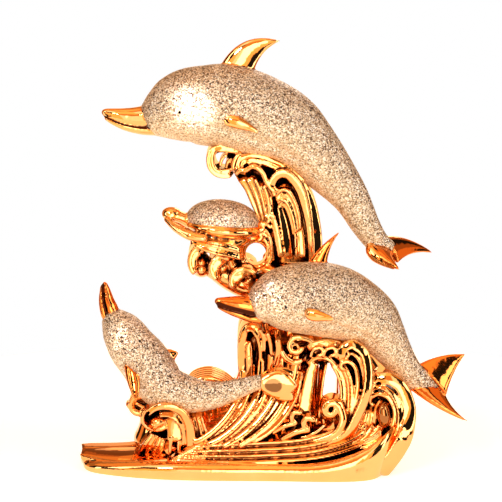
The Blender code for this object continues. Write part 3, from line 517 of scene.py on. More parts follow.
def top_scroll(skin):
    """The hollow scroll that meets the top dolphin's belly."""
    mass(skin, [(12, 4, 225), (1, 4, 229), (-6, 4, 232), (-14, 4, 229)], (5, 6, 6, 5), (14, 13, 12, 10))
    rib(skin, [(-3.6, -13, 239.2), (-10.2, -14, 240.8), (-17.6, -14, 241.2), (-23.9, -15, 238.7),
        (-26, -16, 233.7), (-25, -16, 227.7), (-21.3, -16, 223.6), (-15.4, -16, 222.1),
        (-9.5, -16, 223.2)], (3, 3.2, 3.2, 3), (16, 16, 16, 15), nose=0.5, lean=0.35)
    strand(skin, [(-4.3, -15, 237.2), (-7.7, -16, 232.9), (-8.8, -16, 227.7), (-7.3, -17, 222.6)],
        (1.5, 1.9, 1.6), 12)
    strand(skin, [(-19.1, -14, 227.4), (-16.9, -14, 233.8), (-11.7, -15, 237.6)], (1.2, 1.3, 1), 10)
    strand(skin, [(-14, -11, 224.8), (-12.5, -12, 230.9), (-8, -13, 234.7)], (1.6, 1.8, 1.2), 8,
        lean=-0.4)
    strand(skin, [(-19.1, -16, 224.4), (-14.7, -16, 224.7), (-10.2, -16, 225.5)], (1.3, 1.6, 1.3), 10)


def turtle_wave(skin):
    """The wave under the turtle, with a hole that shows daylight and three nested scrolls."""
    mass(skin, [(29, 4, 131), (13, 2, 134), (-4, 0, 139), (-20, -2, 148), (-31, -4, 153)],
        (12, 11, 11, 10, 7), (17, 17, 17, 16, 12))
    mass(skin, [(-7, -2, 146), (-11, -4, 159), (-12, -6, 170)], (7, 6, 7), 15)
    hole_x, hole_z, ring_radius, ring_height = 8, 162, 9.4, 10
    for ring_size, ring_depth in ((0.98, -13), (1.22, -15)):
        ring = [(hole_x + ring_radius * ring_size * math.cos(turn), ring_depth,
                 hole_z + ring_height * ring_size * math.sin(turn))
                for turn in np.radians(range(-40, 340, 15))]
        strand(skin, ring, 1.5, 8)
    # long lips under the turtle
    flow(skin, [[(-40.6, -22, 175.6), (-32.3, -27, 174.2), (-22, -29, 173.1), (-11, -27, 170.5),
        (-1.4, -24, 167)], [(-41.3, -24, 172.2), (-33.8, -28, 169.2), (-24.2, -30, 165.8),
        (-12.5, -28, 163.2), (-1.4, -24, 159.5)]], 4, 11, swell=0.42, leans=(0.5, -0.2))
    # three scrolls, each a few nested arcs round a hollow
    for outer, centre, sizes in (
            ([(-23.5, -26, 168.1), (-30.9, -26, 170.3), (-37.5, -27, 167.5), (-40.9, -27, 160.8),
                (-40.2, -27, 153.3), (-36.1, -27, 148)], (-33.1, -27, 158.5), (1.0, 0.6)),
            ([(-5.1, -27, 161.5), (-13.9, -27, 163.4), (-21.7, -28, 160.9), (-25.4, -28, 155),
                (-23.6, -28, 148.2), (-18.8, -28, 144.4)], (-17.6, -28, 153.5), (1.0, 0.72, 0.45)),
            ([(8.9, -27, 148), (2.3, -28, 152.7), (-4.3, -29, 152.5), (-9.1, -29, 148.4),
                (-9.9, -29, 142.4), (-6.6, -29, 137.9)], (-2.9, -28, 144.4), (1.0, 0.66, 0.34))):
        middle = np.array(centre)
        for size in sizes:
            arc = [tuple(middle + (np.array(point) - middle) * (size, 1, size)) for point in outer]
            rib(skin, arc, (1.6, 2.2, 2.4, 2.2), (12, 14, 15, 14), back=size == 1.0, nose=0.6,
                lean=0.35 if size < 1 else 0.1)
    for x, z in ((-33, 156.5), (-17, 152), (2, 142.5)):
        ball(skin, (x, 0, z - 6), (8, 17, 8))
        ball(skin, (x, -6, z), (6, 14, 6))


def great_wave(skin):
    """The fluted wave that sweeps up from the front left to under the middle dolphin."""
    mass(skin, [(-30, -6, 0), (-7, -6, 19), (11, -4, 42), (19, -2, 63), (22, 0, 86), (20, 0, 105)],
        (13, 17, 19, 18, 18, 15), (30, 28, 24, 21, 19, 17))
    flow(skin, [[(-43.7, -44, 23), (-29.6, -43, 29.6), (-16.3, -40, 41.1), (-6.6, -35, 55.1),
        (-2.2, -31, 68.6), (-1.4, -29, 80.3)], [(-29.5, -48, 21.8), (-12.5, -46, 30.4), (1.5, -42, 42.4),
        (11.2, -37, 56.3), (15.6, -33, 73.6), (16.4, -31, 91.4)], [(-12.5, -51, 20.4), (5.2, -48, 31),
        (18.5, -44, 42.9), (28.9, -39, 58.4), (34.9, -33, 78.2), (37.9, -30, 96.5)], [(0.8, -51, 24.2),
        (18.5, -47, 35.3), (29.6, -43, 46.4), (37.8, -38, 61.2), (41.6, -33, 79.7)]], 9, 15, swell=0.41,
        waver=3.6, nose=0.26, leans=(0.6, 0.5, 0.95, 0.3, 0.95, 0.65, 0.4, 0.95, 0.6))
    mass(skin, [(7, -4, 67), (5, -4, 90), (10, -4, 106)], (8, 9, 9), (17, 17, 15))
    # the fluted lip that shows left of the strands, with its scrolled top
    rib(skin, [(-1.5, -28, 66.3), (-2.9, -28, 84.7), (-2.5, -29, 99.3), (0.4, -30, 107.9),
        (6, -31, 111.1)], (2.6, 3.2, 3.2, 3.2, 3), (16.5, 16.5, 16.5, 17, 17),
        curl=(5.2, 105.1, 0.4, 0.6), strands=1, nose=0.4, lean=(0.2, 0.2, 0.6))
    strand(skin, [(3, -30, 69.9), (3, -30, 85.1), (2.3, -30, 96.5), (-0.7, -31, 100.5)], (2.2, 2.6, 2.2),
        12, lean=-0.15, nose=0.3)
    strand(skin, [(11.2, -29, 75.7), (11.2, -30, 91.2), (8.9, -31, 102), (3.8, -32, 107.6),
        (-1.4, -33, 106.3)], (1.1, 1.4, 1.4, 1.2), 12, lean=0.5)
    strand(skin, [(14.1, -31, 91.4), (13.4, -32, 102.3), (9.7, -33, 110)], (1.3, 1.6, 1.4), 10, lean=1)
    strand(skin, [(20.1, -31, 88.4), (18.6, -32, 99.2), (15.6, -34, 108.7)], (1.5, 1.8, 1.6), 10,
        lean=0.2)
    strand(skin, [(23, -33, 81.2), (25.2, -35, 93.8), (23.7, -37, 104.9)], (2, 2.6, 2.2), 10, lean=-0.8)


def barrel(skin):
    """The small barrel wave on the left, with the curl that holds up the small dolphin."""
    rib(skin, [(-40.8, -41, 15.3), (-40.7, -42, 27.1), (-42.2, -42, 38.5), (-47.3, -42, 47.7),
        (-56.9, -42, 52.3), (-66.5, -41, 51.6), (-73.3, -40, 47.2)], (3.6, 3.3, 3, 2.6, 2.4, 2.2),
        (26, 28, 28, 27, 26, 22), curl=(-68.9, 41.8, -0.55, 0.6), strands=1, nose=0.3,
        lean=(0.3, 0.35, 0, -0.8, -0.9))
    strand(skin, [(-46.1, -38, 20.6), (-45.7, -38, 32.9), (-50, -39, 42), (-57.8, -38, 45.9),
        (-66, -38, 45.1)], (1.6, 2.4, 2.6, 2), 16, lean=-0.85, nose=0.12)
    mass(skin, [(-65, 2, 23), (-52, 4, 21), (-45, 6, 12)], (9, 12, 12), (14, 17, 20))
    mass(skin, [(-70, 4, 38), (-58, 8, 43), (-44, 8, 40)], 7, (12, 13, 13))
    # the bright sheet inside the barrel, and the knob before it
    strand(skin, [(-55.8, -33, 43.1), (-52.4, -36, 33.9), (-51.7, -38, 19.1)], (4.6, 7, 7.4), (13, 15),
        strands=1, nose=0.18, lean=0.05)
    ball(skin, (-66.4, -30, 37.7), (7.2, 6, 5.2), tip=-15)
    strand(skin, [(-58.8, -33, 41.6), (-61, -34, 34.1), (-68.4, -35, 32.9), (-72.8, -36, 37.7)],
        (1.2, 1.8, 1.6), 8)
    flow(skin, [[(-79, -36, 15.5), (-75.9, -36, 21.6), (-71.5, -35, 27.5), (-68.5, -33, 32.3)],
        [(-64.7, -38, 12.9), (-62.5, -37, 19.6), (-61, -36, 25.5), (-60.3, -35, 30.6)]], 4, 11, swell=0.4,
        back=False, waver=2.4, leans=(0.3, -0.9))
    strand(skin, [(-57.3, -38, 14.5), (-56.5, -38, 22.2), (-55.7, -38, 29.1)], (1.2, 1.6, 1.2), 8,
        lean=0.9)
    strand(skin, [(-49.8, -38, 14.5), (-49.8, -38, 20.6), (-49.8, -38, 26)], (1.2, 1.6, 1.2), 8,
        lean=-0.9)
    flow(skin, [[(-38.7, -37, 19.6), (-37.1, -37, 33.4), (-40.1, -36, 45.4)], [(-26, -40, 23.5),
        (-30.4, -40, 35.7), (-34.1, -38, 47.4)]], 5, 9, swell=0.45, back=False, waver=1.4)
    mass(skin, [(-80, 2, 9), (-74, 2, 26), (-72, 2, 39), (-74, 0, 45)], (11, 9, 8, 6), (26, 22, 16, 14))
    rib(skin, [(-63.6, -24, 49.2), (-71, -25, 53.3), (-77.6, -26, 55.9)], (2.6, 2.8, 2.6), 13,
        curl=(-79.9, 48.2, -0.85, 0.5), strands=1, lean=0.4)
    strand(skin, [(-70.4, -24, 40), (-77.1, -24, 40.8), (-85.4, -22, 44.9), (-90.4, -20, 49.8)],
        (2.8, 2.8, 2.4, 1.8), (11, 11, 9, 7), strands=1)
    strand(skin, [(-70.3, -25, 44.9), (-76.3, -25, 47.2), (-83.1, -23, 50.5)], (1.2, 1.5, 1.2), 9)


def back_crest(skin):
    """The crest that shows behind the small dolphin's back."""
    mass(skin, [(-38, 12, -5), (-31, 14, 20), (-28, 16, 41), (-27, 16, 55)], (22, 22, 19, 16),
        (24, 20, 16, 12))
    for back in (0, 7, 14, 21, 28):
        strand(skin, [(-2, back, 42), (-9, 1 + back, 52), (-16, 2 + back, 58.5), (-26, 2 + back, 63),
            (-35, 2 + back, 62.5), (-42, 3 + back, 58.5), (-46, 3 + back, 51)],
            (2.2, 2.4, 2.4, 2.4, 2.2, 2, 2), 3.6, nose=0.9)
    for inset in (4.5, 8, 11.5):
        strand(skin, [(-3 - inset * 0.8, -2, 42), (-10 - inset * 0.7, -1, 53 - inset * 0.6),
            (-18 - inset * 0.3, 0, 60 - inset), (-27, 0, 65 - inset), (-35 + inset * 0.5, 0, 64 - inset),
            (-41 + inset * 0.6, 1, 58 - inset)], (1.4, 1.6, 1.6, 1.4), 8)
    flow(skin, [[(-37, -8, 18), (-41, -2, 36), (-40, 2, 50), (-32, 2, 60)], [(-10, -10, 28),
        (-11, -4, 41), (-14, 1, 51), (-20, 2, 60)]], 6, 9, back=False)


def right_crests(skin):
    """The two tall crests on the right, one behind the other."""
    mass(skin, [(92, 4, -4), (106, 4, 8), (113, 4, 24), (115, 4, 40), (111, 4, 52)], (20, 15, 11, 9, 7),
        (36, 33, 28, 24, 20))
    mass(skin, [(80, 4, 10), (85, 4, 38), (86, 4, 58), (83, 0, 76), (78, 0, 86)], (7, 7, 8, 8, 7),
        (24, 22, 20, 18, 17))
    mass(skin, [(93, 4, 22), (100, 4, 42), (102, 4, 58)], (9, 9, 8), (16, 15, 12))
    # the nearer crest: its round back, the black hollow under its lip, and the scroll inside
    rib(skin, [(60.9, -43, 20.5), (75.6, -44, 29.9), (84.4, -42, 45.4), (91, -40, 62.4),
        (92.5, -38, 77.9), (89.5, -36, 91), (81.4, -35, 98)], (4.2, 4, 3.6, 3.6, 3.6, 3.4, 3.2),
        (24, 24, 23, 22, 21, 20, 19), curl=(78.5, 89.3, -0.45, 0.6), strands=1, nose=0.25,
        lean=(-0.8, -0.85, -0.85, -0.9, -0.95))
    strand(skin, [(77.2, -41, 26), (83.8, -40, 41.8), (88.2, -39, 56.8), (89.6, -37, 70.8),
        (86.6, -36, 84.2), (80.7, -34, 90.2), (74.9, -33, 89.6)], (1.6, 2.2, 2.2, 1.8, 1.6, 1.3), 14,
        lean=(0.05, 0, 0), nose=0.2)
    strand(skin, [(75.1, -38, 29.1), (79.5, -38, 42.8), (83.1, -37, 56.3), (84.5, -36, 68.3),
        (82.9, -36, 79.7), (77.7, -36, 85), (72.6, -36, 84.2)], (1.4, 1.8, 1.8, 1.6, 1.4), 12, lean=-0.18,
        nose=0.4, curl=(74.1, 81.2, -0.6, 0.45))
    # the farther crest
    rib(skin, [(95.9, -44, -3), (104.8, -43, 6.7), (113.6, -42, 17.9), (121.2, -38, 32.1),
        (123.4, -35, 49), (118.2, -32, 63.5), (109.3, -30, 70.6), (100.5, -28, 70.5)],
        (7.4, 7.4, 6.8, 5.8, 5, 4.6, 4.2, 3.6), (35, 35, 33, 30, 27, 25, 22, 18),
        curl=(102.9, 61, -0.5, 0.6), strands=1, nose=0.3,
        lean=(-1.3, -1.3, -0.9, -0.3, -0.55, -0.95, -0.95))
    strand(skin, [(107.1, -40, 17.3), (114.4, -39, 30.9), (116.6, -37, 44.9), (113, -34, 56.3),
        (106.3, -32, 63.1), (99, -30, 63.8), (93.2, -29, 58.9)], (1.6, 2.2, 2.4, 2.2, 1.8, 1.4), 14,
        lean=-0.85, nose=0.12)
    strand(skin, [(104.2, -38, 21.4), (110.1, -37, 33.4), (112.3, -35, 45.9), (108.5, -34, 55.6),
        (101.9, -32, 58.9), (95.3, -31, 57.1)], (1.8, 2.2, 2.2, 2, 1.6), 13, nose=0.8,
        curl=(97.6, 53.3, -0.5, 0.5))
    crest_oval(skin)
    strand(skin, [(94.6, -36, 27.8), (97.1, -35, 37.5), (98.1, -35, 48.2), (101.1, -34, 54.1)],
        (1.2, 1.5, 1.5, 1.2), 11, lean=-0.2)
    flow(skin, [[(79.6, -38, 22.9), (86.3, -36, 36.2), (92.2, -34, 51)], [(91.5, -38, 25.2),
        (94.5, -36, 37), (95.9, -34, 51)]], 4, 10, swell=0.44, back=False, leans=(0.4, -0.3))
    flow(skin, [[(79.4, -44, 18.4), (94.2, -44, 23), (106.1, -41, 29.9)], [(82.3, -43, 24.3),
        (95, -42, 28.6), (105.4, -40, 36.5)]], 3, 10, swell=0.46, back=False, leans=(0.5, -0.3))


def tangled_water(skin):
    """Strands, a spiral and an arched window under the middle dolphin."""
    mass(skin, [(32, 0, 83), (50, 0, 84), (70, 0, 86), (85, 0, 83), (99, 0, 66)], (11, 9, 9, 9, 8),
        (20, 19, 19, 19, 17))
    mass(skin, [(61, -4, 17), (61, -4, 29), (61, -4, 40)], (8, 8, 6), (24, 22, 17))
    mass(skin, [(40, 4, 14), (43, 4, 38), (45, 4, 61), (44, 4, 80)], (8, 6, 6, 8), (20, 17, 17, 17))
    # strands right of the window
    flow(skin, [[(60.2, -40, 21.9), (69.8, -39, 35.5), (72, -37, 54.8), (70.5, -35, 71.1),
        (63.8, -33, 83.5)], [(70.5, -43, 24.3), (77.9, -41, 39), (80, -39, 55.3), (79.3, -37, 71.6),
        (73.3, -35, 84.7)]], 4, 13, swell=0.4, leans=(0.5, -0.15, 0.2), waver=1.5)
    # the roof of the window, under the dolphin's belly, with small curls before it
    flow(skin, [[(43, -33, 93.4), (51.9, -33, 98.7), (62.2, -32, 100), (74.2, -30, 98)],
        [(45.3, -32, 87.9), (53.4, -32, 92.4), (63.8, -31, 93.7), (74.2, -30, 92)]], 3, 10, swell=0.42,
        back=False, leans=(0.9, -0.2))
    rib(skin, [(46.8, -31, 82.3), (53.4, -32, 87.1), (61.5, -33, 86.9), (67.9, -33, 81.2),
        (71.3, -34, 70.8), (72.8, -34, 57.9)], (1.4, 2, 2, 1.8, 1.4), 9, lean=0.3)
    strand(skin, [(72.7, -32, 84.1), (76.4, -33, 79.7), (76.4, -34, 72.4), (74.3, -34, 64.7)],
        (1.4, 2.2, 2, 1.4), 9, lean=0.95, nose=0.2)
    for start, top, end, middle in (
            ((48.9, -34, 88.3), (51.1, -35, 93.8), (55.5, -35, 95.4), (55.5, 91.6)),
            ((58.5, -34, 88.3), (60.7, -35, 93.8), (65.1, -35, 95.4), (65.1, 91.6)),
            ((68.2, -34, 87.6), (70.3, -35, 92.3), (74.7, -35, 93.8), (74.8, 90.1))):
        strand(skin, [start, top, end], (1.1, 1.5), 7, curl=(*middle, 0.7, 0.4))
    strand(skin, [(54.2, -31, 93.7), (48.1, -33, 100.2), (41.4, -35, 102.9)], (1.6, 2, 2.2), 9,
        curl=(38.5, 96.3, -0.85, 0.5), strands=1)
    strand(skin, [(43.7, -35, 86.3), (37.1, -35, 84), (30.4, -36, 87.3), (26.7, -36, 94.1)],
        (1.4, 2.4, 2.4, 1.6), 9, nose=0.5)
    strand(skin, [(40.8, -34, 93.6), (37.8, -34, 97.4), (34.1, -35, 95.4), (34.1, -35, 90.1)],
        (1, 1.4, 1.4, 1), 8, lean=0.6)
    # the spiral and the curls before the window
    strand(skin, [(43.8, -44, 24.6), (57, -46, 27.4), (68.1, -46, 32.7), (73.2, -45, 42.4),
        (71, -43, 52.5)], (2.4, 3, 3.2, 3, 2.6), (12, 12, 12, 11, 10), curl=(64.4, 49.5, -1.2, 0.3),
        strands=1, nose=0.6, lean=(0.2, -0.4, -0.6))
    strand(skin, [(26.7, -45, 27.1), (37.8, -46, 33.5), (47.4, -46, 35.8)], (1.8, 2.4, 2.4), 10,
        curl=(48.1, 41.1, 0.8, 0.45), strands=1)
    strand(skin, [(20.1, -42, 31.7), (28.9, -43, 37.3), (37.8, -43, 39.6)], (1.6, 2, 2), 9,
        curl=(39.3, 44.9, 0.7, 0.45))
    strand(skin, [(30.4, -43, 26.6), (40.8, -43, 28.1), (52.6, -44, 33), (60, -44, 39.1)],
        (1, 1.4, 1.4, 1), 9)
    # the broad bright face and the slim posts of the window
    rib(skin, [(40.9, -38, 26), (43.9, -36, 42.3), (46.1, -34, 58.6), (49, -32, 74.9), (52.7, -31, 84.6)],
        (3.4, 4.6, 4.8, 4, 2.8), (12, 12, 12, 11, 10), strands=1, nose=0.12, lean=-0.04)
    strand(skin, [(55.3, -27, 38.5), (57.1, -26, 55.1), (59, -25, 70.2), (61.2, -24, 80.7)],
        (1.1, 1.2, 1.1), 9, lean=0.5)
    strand(skin, [(53, -22, 25), (55, -20, 44), (57, -20, 61), (58, -20, 76)], (2.2, 2, 2, 2.2), 7)


def base(skin):
    """The foot of the statue: an uneven oval with a smooth band, lower at its left tip.

    Towards the right end the band climbs and leans out as the smooth outside of the crest.
    """
    steps, wrap = 16, len(BASE_OUTLINE)
    closed = [BASE_OUTLINE[i % wrap] + (0,) for i in range(-1, wrap + 2)]
    share = smooth_curve(closed, steps)[0][steps:-steps - 1, :2]
    edge = share * (BASE_LENGTH / 2, BASE_DEPTH / 2) + BASE_CENTRE
    along_edge = unit(np.roll(edge, -1, axis=0) - np.roll(edge, 1, axis=0))
    outward = np.column_stack([along_edge[:, 1], -along_edge[:, 0]])
    tip = ((-share[:, 0] - TIP_START) / (1 - TIP_START)).clip(0)
    climb = ((share[:, 0] - CLIMB_START) / (1 - CLIMB_START)).clip(0) ** CLIMB_POWER
    full_height = BAND_HEIGHT * (1 - TIP_DROP * tip ** 1.5) + CLIMB * climb
    profile = smooth_curve([(level, inset, 0) for level, inset in BAND_PROFILE], 3)[0][:, :2]
    rings = []
    for level, inset in profile:
        height = level * (full_height if level > 0 else BAND_HEIGHT + 0 * tip)
        ring = edge - outward * inset * BAND_ROUNDING
        ring[:, 0] += CLIMB_LEAN * climb * max(level, 0)
        rings.append(np.column_stack([ring, height]))
    within = (edge - BASE_CENTRE) * HOLLOWED + BASE_CENTRE
    rings.append(np.column_stack([within, np.minimum(full_height, BAND_HEIGHT) * 0.9]))
    loft(skin, rings)


def base_water(skin):
    """Long ridges that run over the base and up to the right."""
    mass(skin, [(-72, -14, 0), (-30, 0, 3), (34, 0, 5), (76, 0, 3), (112, 0, 0)], (6, 11, 13, 11, 7),
        (24, 42, 48, 46, 38), sides=36)
    mass(skin, [(42, 2, -2), (65, 2, 9), (84, 2, 10), (106, 2, 6)], (16, 15, 15, 13), (44, 42, 40, 36))
    mass(skin, [(34, -26, 1), (65, -26, 6), (91, -22, 13), (109, -16, 21)], (8, 11, 13, 12),
        (26, 29, 29, 26))
    flow(skin, [[(-54, -46, 12.9), (-25.8, -52, 13), (12.6, -55, 13.9), (53.9, -54, 16.6),
        (81.4, -47, 22.3), (97.5, -36, 29.3)], [(-45.2, -42, 20.2), (-22.9, -46, 23.6), (8.2, -49, 25.9),
        (43.7, -47, 28.4), (69, -42, 35.5), (81.1, -34, 46.4)]], 7, 11, swell=0.44, waver=2.4, nose=0.4,
        leans=(1, 1.3, 0.3, 0.95))
    flow(skin, [[(43.8, -45, 20.2), (63, -44, 23.8), (79.4, -41, 31.4), (86.9, -38, 41.3)],
        [(57.1, -47, 16.2), (76.3, -46, 20.5), (92.7, -43, 27.4), (103.1, -40, 38.8)]], 4, 12, swell=0.4,
        waver=2.4, back=False, leans=(0.9, -0.2))
    band_lines(skin)
    tongue(skin)
    flow(skin, [[(-125.4, -20, 9.5), (-105.4, -33, 6.9), (-79.6, -39, 7.1), (-54.9, -42, 10.2)],
        [(-125.5, -16, 11.5), (-104.6, -22, 7.3), (-80.4, -24, 8.3), (-63.7, -26, 15)],
        [(-125.3, -12, 13.2), (-103.8, -10, 11), (-81.3, -6, 11.1), (-66.5, 2, 14.5)]], 7, 7, swell=0.54,
        back=False, waver=1.4, leans=(0, 0.5, 0.9), fade=0.6)
    rib(skin, [(-58.5, -46, 9), (-50.3, -46, 14.4), (-40, -44, 20), (-29.6, -42, 24.8)],
        (1.6, 2, 2.2, 1.8), (7, 8, 8, 7), strands=1)


def tongue(skin):
    """The smooth body of the tongue of water that reaches out to the left."""
    mass(skin, [(-126, -10, 7.9), (-114.4, -12, 6.9), (-98.3, -15, 7.3), (-77.7, -18, 8.2)],
        (5, 5.6, 5.6, 5.6), (11, 15, 19, 19))


def tongue_shade_leaf(skin):
    """A thin leaf along the top of the tongue; painted shade and painted red shade near it darken the
    water there.
    """
    mass(skin, [(-125.6, -12, 13.2), (-102.2, -12, 12.8), (-79.8, -6, 13.5)], (1.6, 2, 2), (10, 18, 20))


def band_lines(skin):
    """Two thin strands that run up the band's right end, drawn as dark lines by painted shade."""
    strand(skin, [(32.5, -56, 8.8), (55.3, -57, 11.4), (73.7, -57, 14.4), (88.5, -54, 18.9),
        (100.7, -46, 23.6)], (0.5, 0.8, 0.9, 0.8, 0.5), 6)
    strand(skin, [(80.9, -60, 8.4), (92.2, -55, 10.1), (105.3, -45, 13.4)], (0.4, 0.7, 0.4), 6)


def crest_oval(skin):
    """The smooth oval inside the farther crest, made brown by painted shade and painted red shade."""
    ball(skin, (104.1, -36, 44.2), (5, 5, 10), tip=-6)


# Skins

NEAR = 0.45                 # millimetres within which a corner lies on a form
# The bend along the skin sets painted highlights on ridges and painted shade in inward bends; rays that
# hit nearby walls set painted shade in hollows.
RIDGE_REACH = 10            # steps along the skin over which its bend is felt
RIDGE_HEIGHT = 0.0006
HOLLOW_REACH = 0.006        # how far off a wall still shuts a corner in
OFF_THE_SKIN = 0.0002
LOOKS_OUT = ((0.55, 4), (1.1, 6))   # tilts off the normal, and how many ways are tried at each
SEAM = 0.0009               # width over which grit gives way to plating
SEAM_REACH = 0.012          # how far off either skin is looked for
ASLANT = (0.31, 0.67, 0.68)         # a direction that no normal shares


def whole_skin(forms, grain, name):
    """One closed skin round the forms' overlapping solids, without the pockets inside."""
    rough = bmesh.new()
    for form in forms:
        form(rough)
    bmesh.ops.recalc_face_normals(rough, faces=rough.faces)
    thing = placed(name, rough)
    grid = thing.modifiers.new("fuse", "REMESH")
    grid.mode = "VOXEL"
    grid.voxel_size = grain
    soften = thing.modifiers.new("soften", "SMOOTH")
    soften.factor = 0.5
    soften.iterations = 2
    apply_modifiers(thing)
    keep_the_outside(thing)
    faces = sum(len(face.vertices) - 2 for face in thing.data.polygons)
    if faces > MOST_TRIANGLES:
        thin = thing.modifiers.new("thin out", "DECIMATE")
        thin.ratio = MOST_TRIANGLES / faces
        apply_modifiers(thing)
    thing.data.shade_smooth()
    return thing


def linked(name, data):
    """A new object in the scene."""
    thing = bpy.data.objects.new(name, data)
    bpy.context.scene.collection.objects.link(thing)
    return thing


def placed(name, skin):
    """The skin as an object, which ends its editing."""
    mesh = bpy.data.meshes.new(name)
    skin.to_mesh(mesh)
    skin.free()
    return linked(name, mesh)


def rows(items, name, kind=np.float32, width=3):
    """A value that each of a mesh's items has, one row each."""
    flat = np.empty(width * len(items), kind)
    items.foreach_get(name, flat)
    return flat.reshape(-1, width)


def store(mesh, name, values):
    """Stores a number on each corner, for the material to read."""
    layer = mesh.attributes.new(name, "FLOAT", "POINT")
    layer.data.foreach_set("value", values.astype(np.float32))


def apply_modifiers(thing):
    graph = bpy.context.evaluated_depsgraph_get()
    mesh = bpy.data.meshes.new_from_object(thing.evaluated_get(graph))
    old = thing.data
    thing.modifiers.clear()
    thing.data = mesh
    bpy.data.meshes.remove(old)
    mesh.name = thing.name


def keep_the_outside(thing):
    """Keeps the largest closed skin alone, without the pockets that the forms leave inside."""
    mesh = thing.data
    a, b = rows(mesh.edges, "vertices", int, 2).T
    label = np.arange(len(mesh.vertices))
    while True:
        low = np.minimum(label[a], label[b])
        before = label.copy()
        np.minimum.at(label, a, low)
        np.minimum.at(label, b, low)
        label = label[label]
        if np.array_equal(label, before):
            break
    keep = np.bincount(label).argmax()
    if (label == keep).all():
        return
    skin = bmesh.new()
    skin.from_mesh(mesh)
    skin.verts.ensure_lookup_table()
    bmesh.ops.delete(skin, geom=[skin.verts[i] for i in np.nonzero(label != keep)[0]], context="VERTS")
    skin.to_mesh(mesh)
    skin.free()


def tree_of(forms):
    """A search tree over the forms' own surfaces."""
    skin = bmesh.new()
    for form in forms:
        form(skin)
    tree = BVHTree.FromBMesh(skin)
    skin.free()
    return tree


def mark_sanded(thing, sanded, plated):
    """Stores on each corner how surely it belongs to the sanded skin and not to the plating."""
    mesh = thing.data
    near_sand, near_plate = tree_of(sanded), tree_of(plated)
    mask = np.zeros(len(mesh.vertices), np.float32)
    for i, corner in enumerate(mesh.vertices):
        sand, plate = (near.find_nearest(corner.co, SEAM_REACH)[3] for near in (near_sand, near_plate))
        sand = SEAM_REACH if sand is None else sand
        plate = SEAM_REACH if plate is None else plate
        mask[i] = min(1, max(0, 0.5 + (plate - sand) / SEAM))
    store(mesh, "sanded", mask)
    return mask


def mark_painted_shade_and_highlights(thing):
    """Stores on each corner how shut in it is, for painted shade in hollows, and how sharply it stands
    out as a ridge, for a painted highlight.
    """
    mesh = thing.data
    start = rows(mesh.vertices, "co").astype(float)
    normals = rows(mesh.vertices, "normal").astype(float)
    a, b = rows(mesh.edges, "vertices", int, 2).T
    count = np.bincount(np.concatenate([a, b]), minlength=len(start))[:, None]

    def evened(values, times):
        """The values evened out along the skin's edges, so many times."""
        for _ in range(times):
            near = np.column_stack([np.bincount(a, row[b], len(row)) + np.bincount(b, row[a], len(row))
                                    for row in values.T])
            values = (values + near / count) / 2
        return values

    bend = ((evened(start, RIDGE_REACH) - start) * normals).sum(axis=1) / RIDGE_HEIGHT
    across = unit(np.cross(normals, ASLANT))
    around = np.cross(normals, across)
    tree = BVHTree.FromPolygons([corner.co for corner in mesh.vertices],
                                [tuple(face.vertices) for face in mesh.polygons])
    shut = np.zeros(len(start))
    begin = start + normals * OFF_THE_SKIN
    for tilt, number in LOOKS_OUT:
        for turn in np.arange(number) * 2 * math.pi / number + tilt:
            ways = normals * math.cos(tilt)
            ways += (across * math.cos(turn) + around * math.sin(turn)) * math.sin(tilt)
            for i in range(len(start)):
                shut[i] += tree.ray_cast(begin[i], ways[i], HOLLOW_REACH)[3] is not None
    shut = evened(shut[:, None] / sum(number for _, number in LOOKS_OUT), 1)[:, 0]
    # painted shade where the corner is shut in or bent inward, painted highlight where it stands out as a
    # ridge
    store(mesh, "hollow", np.maximum(shut, bend.clip(0, 1)))
    store(mesh, "ridge", (-bend).clip(0, 1))


def mark_near(thing, name, form, fade, most=1.0):
    """Raises a stored value near a form's surface, fading out over so many millimetres."""
    mesh = thing.data
    layer = mesh.attributes.get(name) or mesh.attributes.new(name, "FLOAT", "POINT")
    value = np.empty(len(mesh.vertices), np.float32)
    layer.data.foreach_get("value", value)
    near = tree_of([form])
    reach = (NEAR + fade) * UNIT
    for i, corner in enumerate(mesh.vertices):
        gap = near.find_nearest(corner.co, reach)[3]
        if gap is not None:
            value[i] = max(value[i], min(most, (reach - gap) / (fade * UNIT)))
    layer.data.foreach_set("value", value)


def grit(thing, mask, height, seed):
    """Roughens the sanded skin, each corner pushed in or out by up to the height."""
    mesh = thing.data
    push = np.random.default_rng(seed).uniform(-1, 1, len(mesh.vertices)) * height * mask
    moved = rows(mesh.vertices, "co") + rows(mesh.vertices, "normal") * push[:, None]
    mesh.vertices.foreach_set("co", moved.astype(np.float32).ravel())
    mesh.update()


def flat_underside(thing):
    """Cuts away what hangs below the floor and closes the cut."""
    skin = bmesh.new()
    skin.from_mesh(thing.data)
    geometry = skin.verts[:] + skin.edges[:] + skin.faces[:]
    cut = bmesh.ops.bisect_plane(skin, geom=geometry, plane_co=(0, 0, 0), plane_no=(0, 0, 1),
                                 clear_inner=True)
    rim = [e for e in cut["geom_cut"] if isinstance(e, bmesh.types.BMEdge)]
    bmesh.ops.holes_fill(skin, edges=rim)
    skin.to_mesh(thing.data)
    skin.free()
    thing.data.shade_smooth()


# Materials

PLATE = (1.0, 0.53, 0.19)
PLATE_DEEP = (0.98, 0.47, 0.15)
# painted highlight: the pale plating of ridges
PAINTED_HIGHLIGHT_PALE = (1.0, 0.72, 0.38)
# painted shade: the near black the plating takes in hollows and marked dark places
PAINTED_SHADE_DARK = (0.06, 0.014, 0.006)
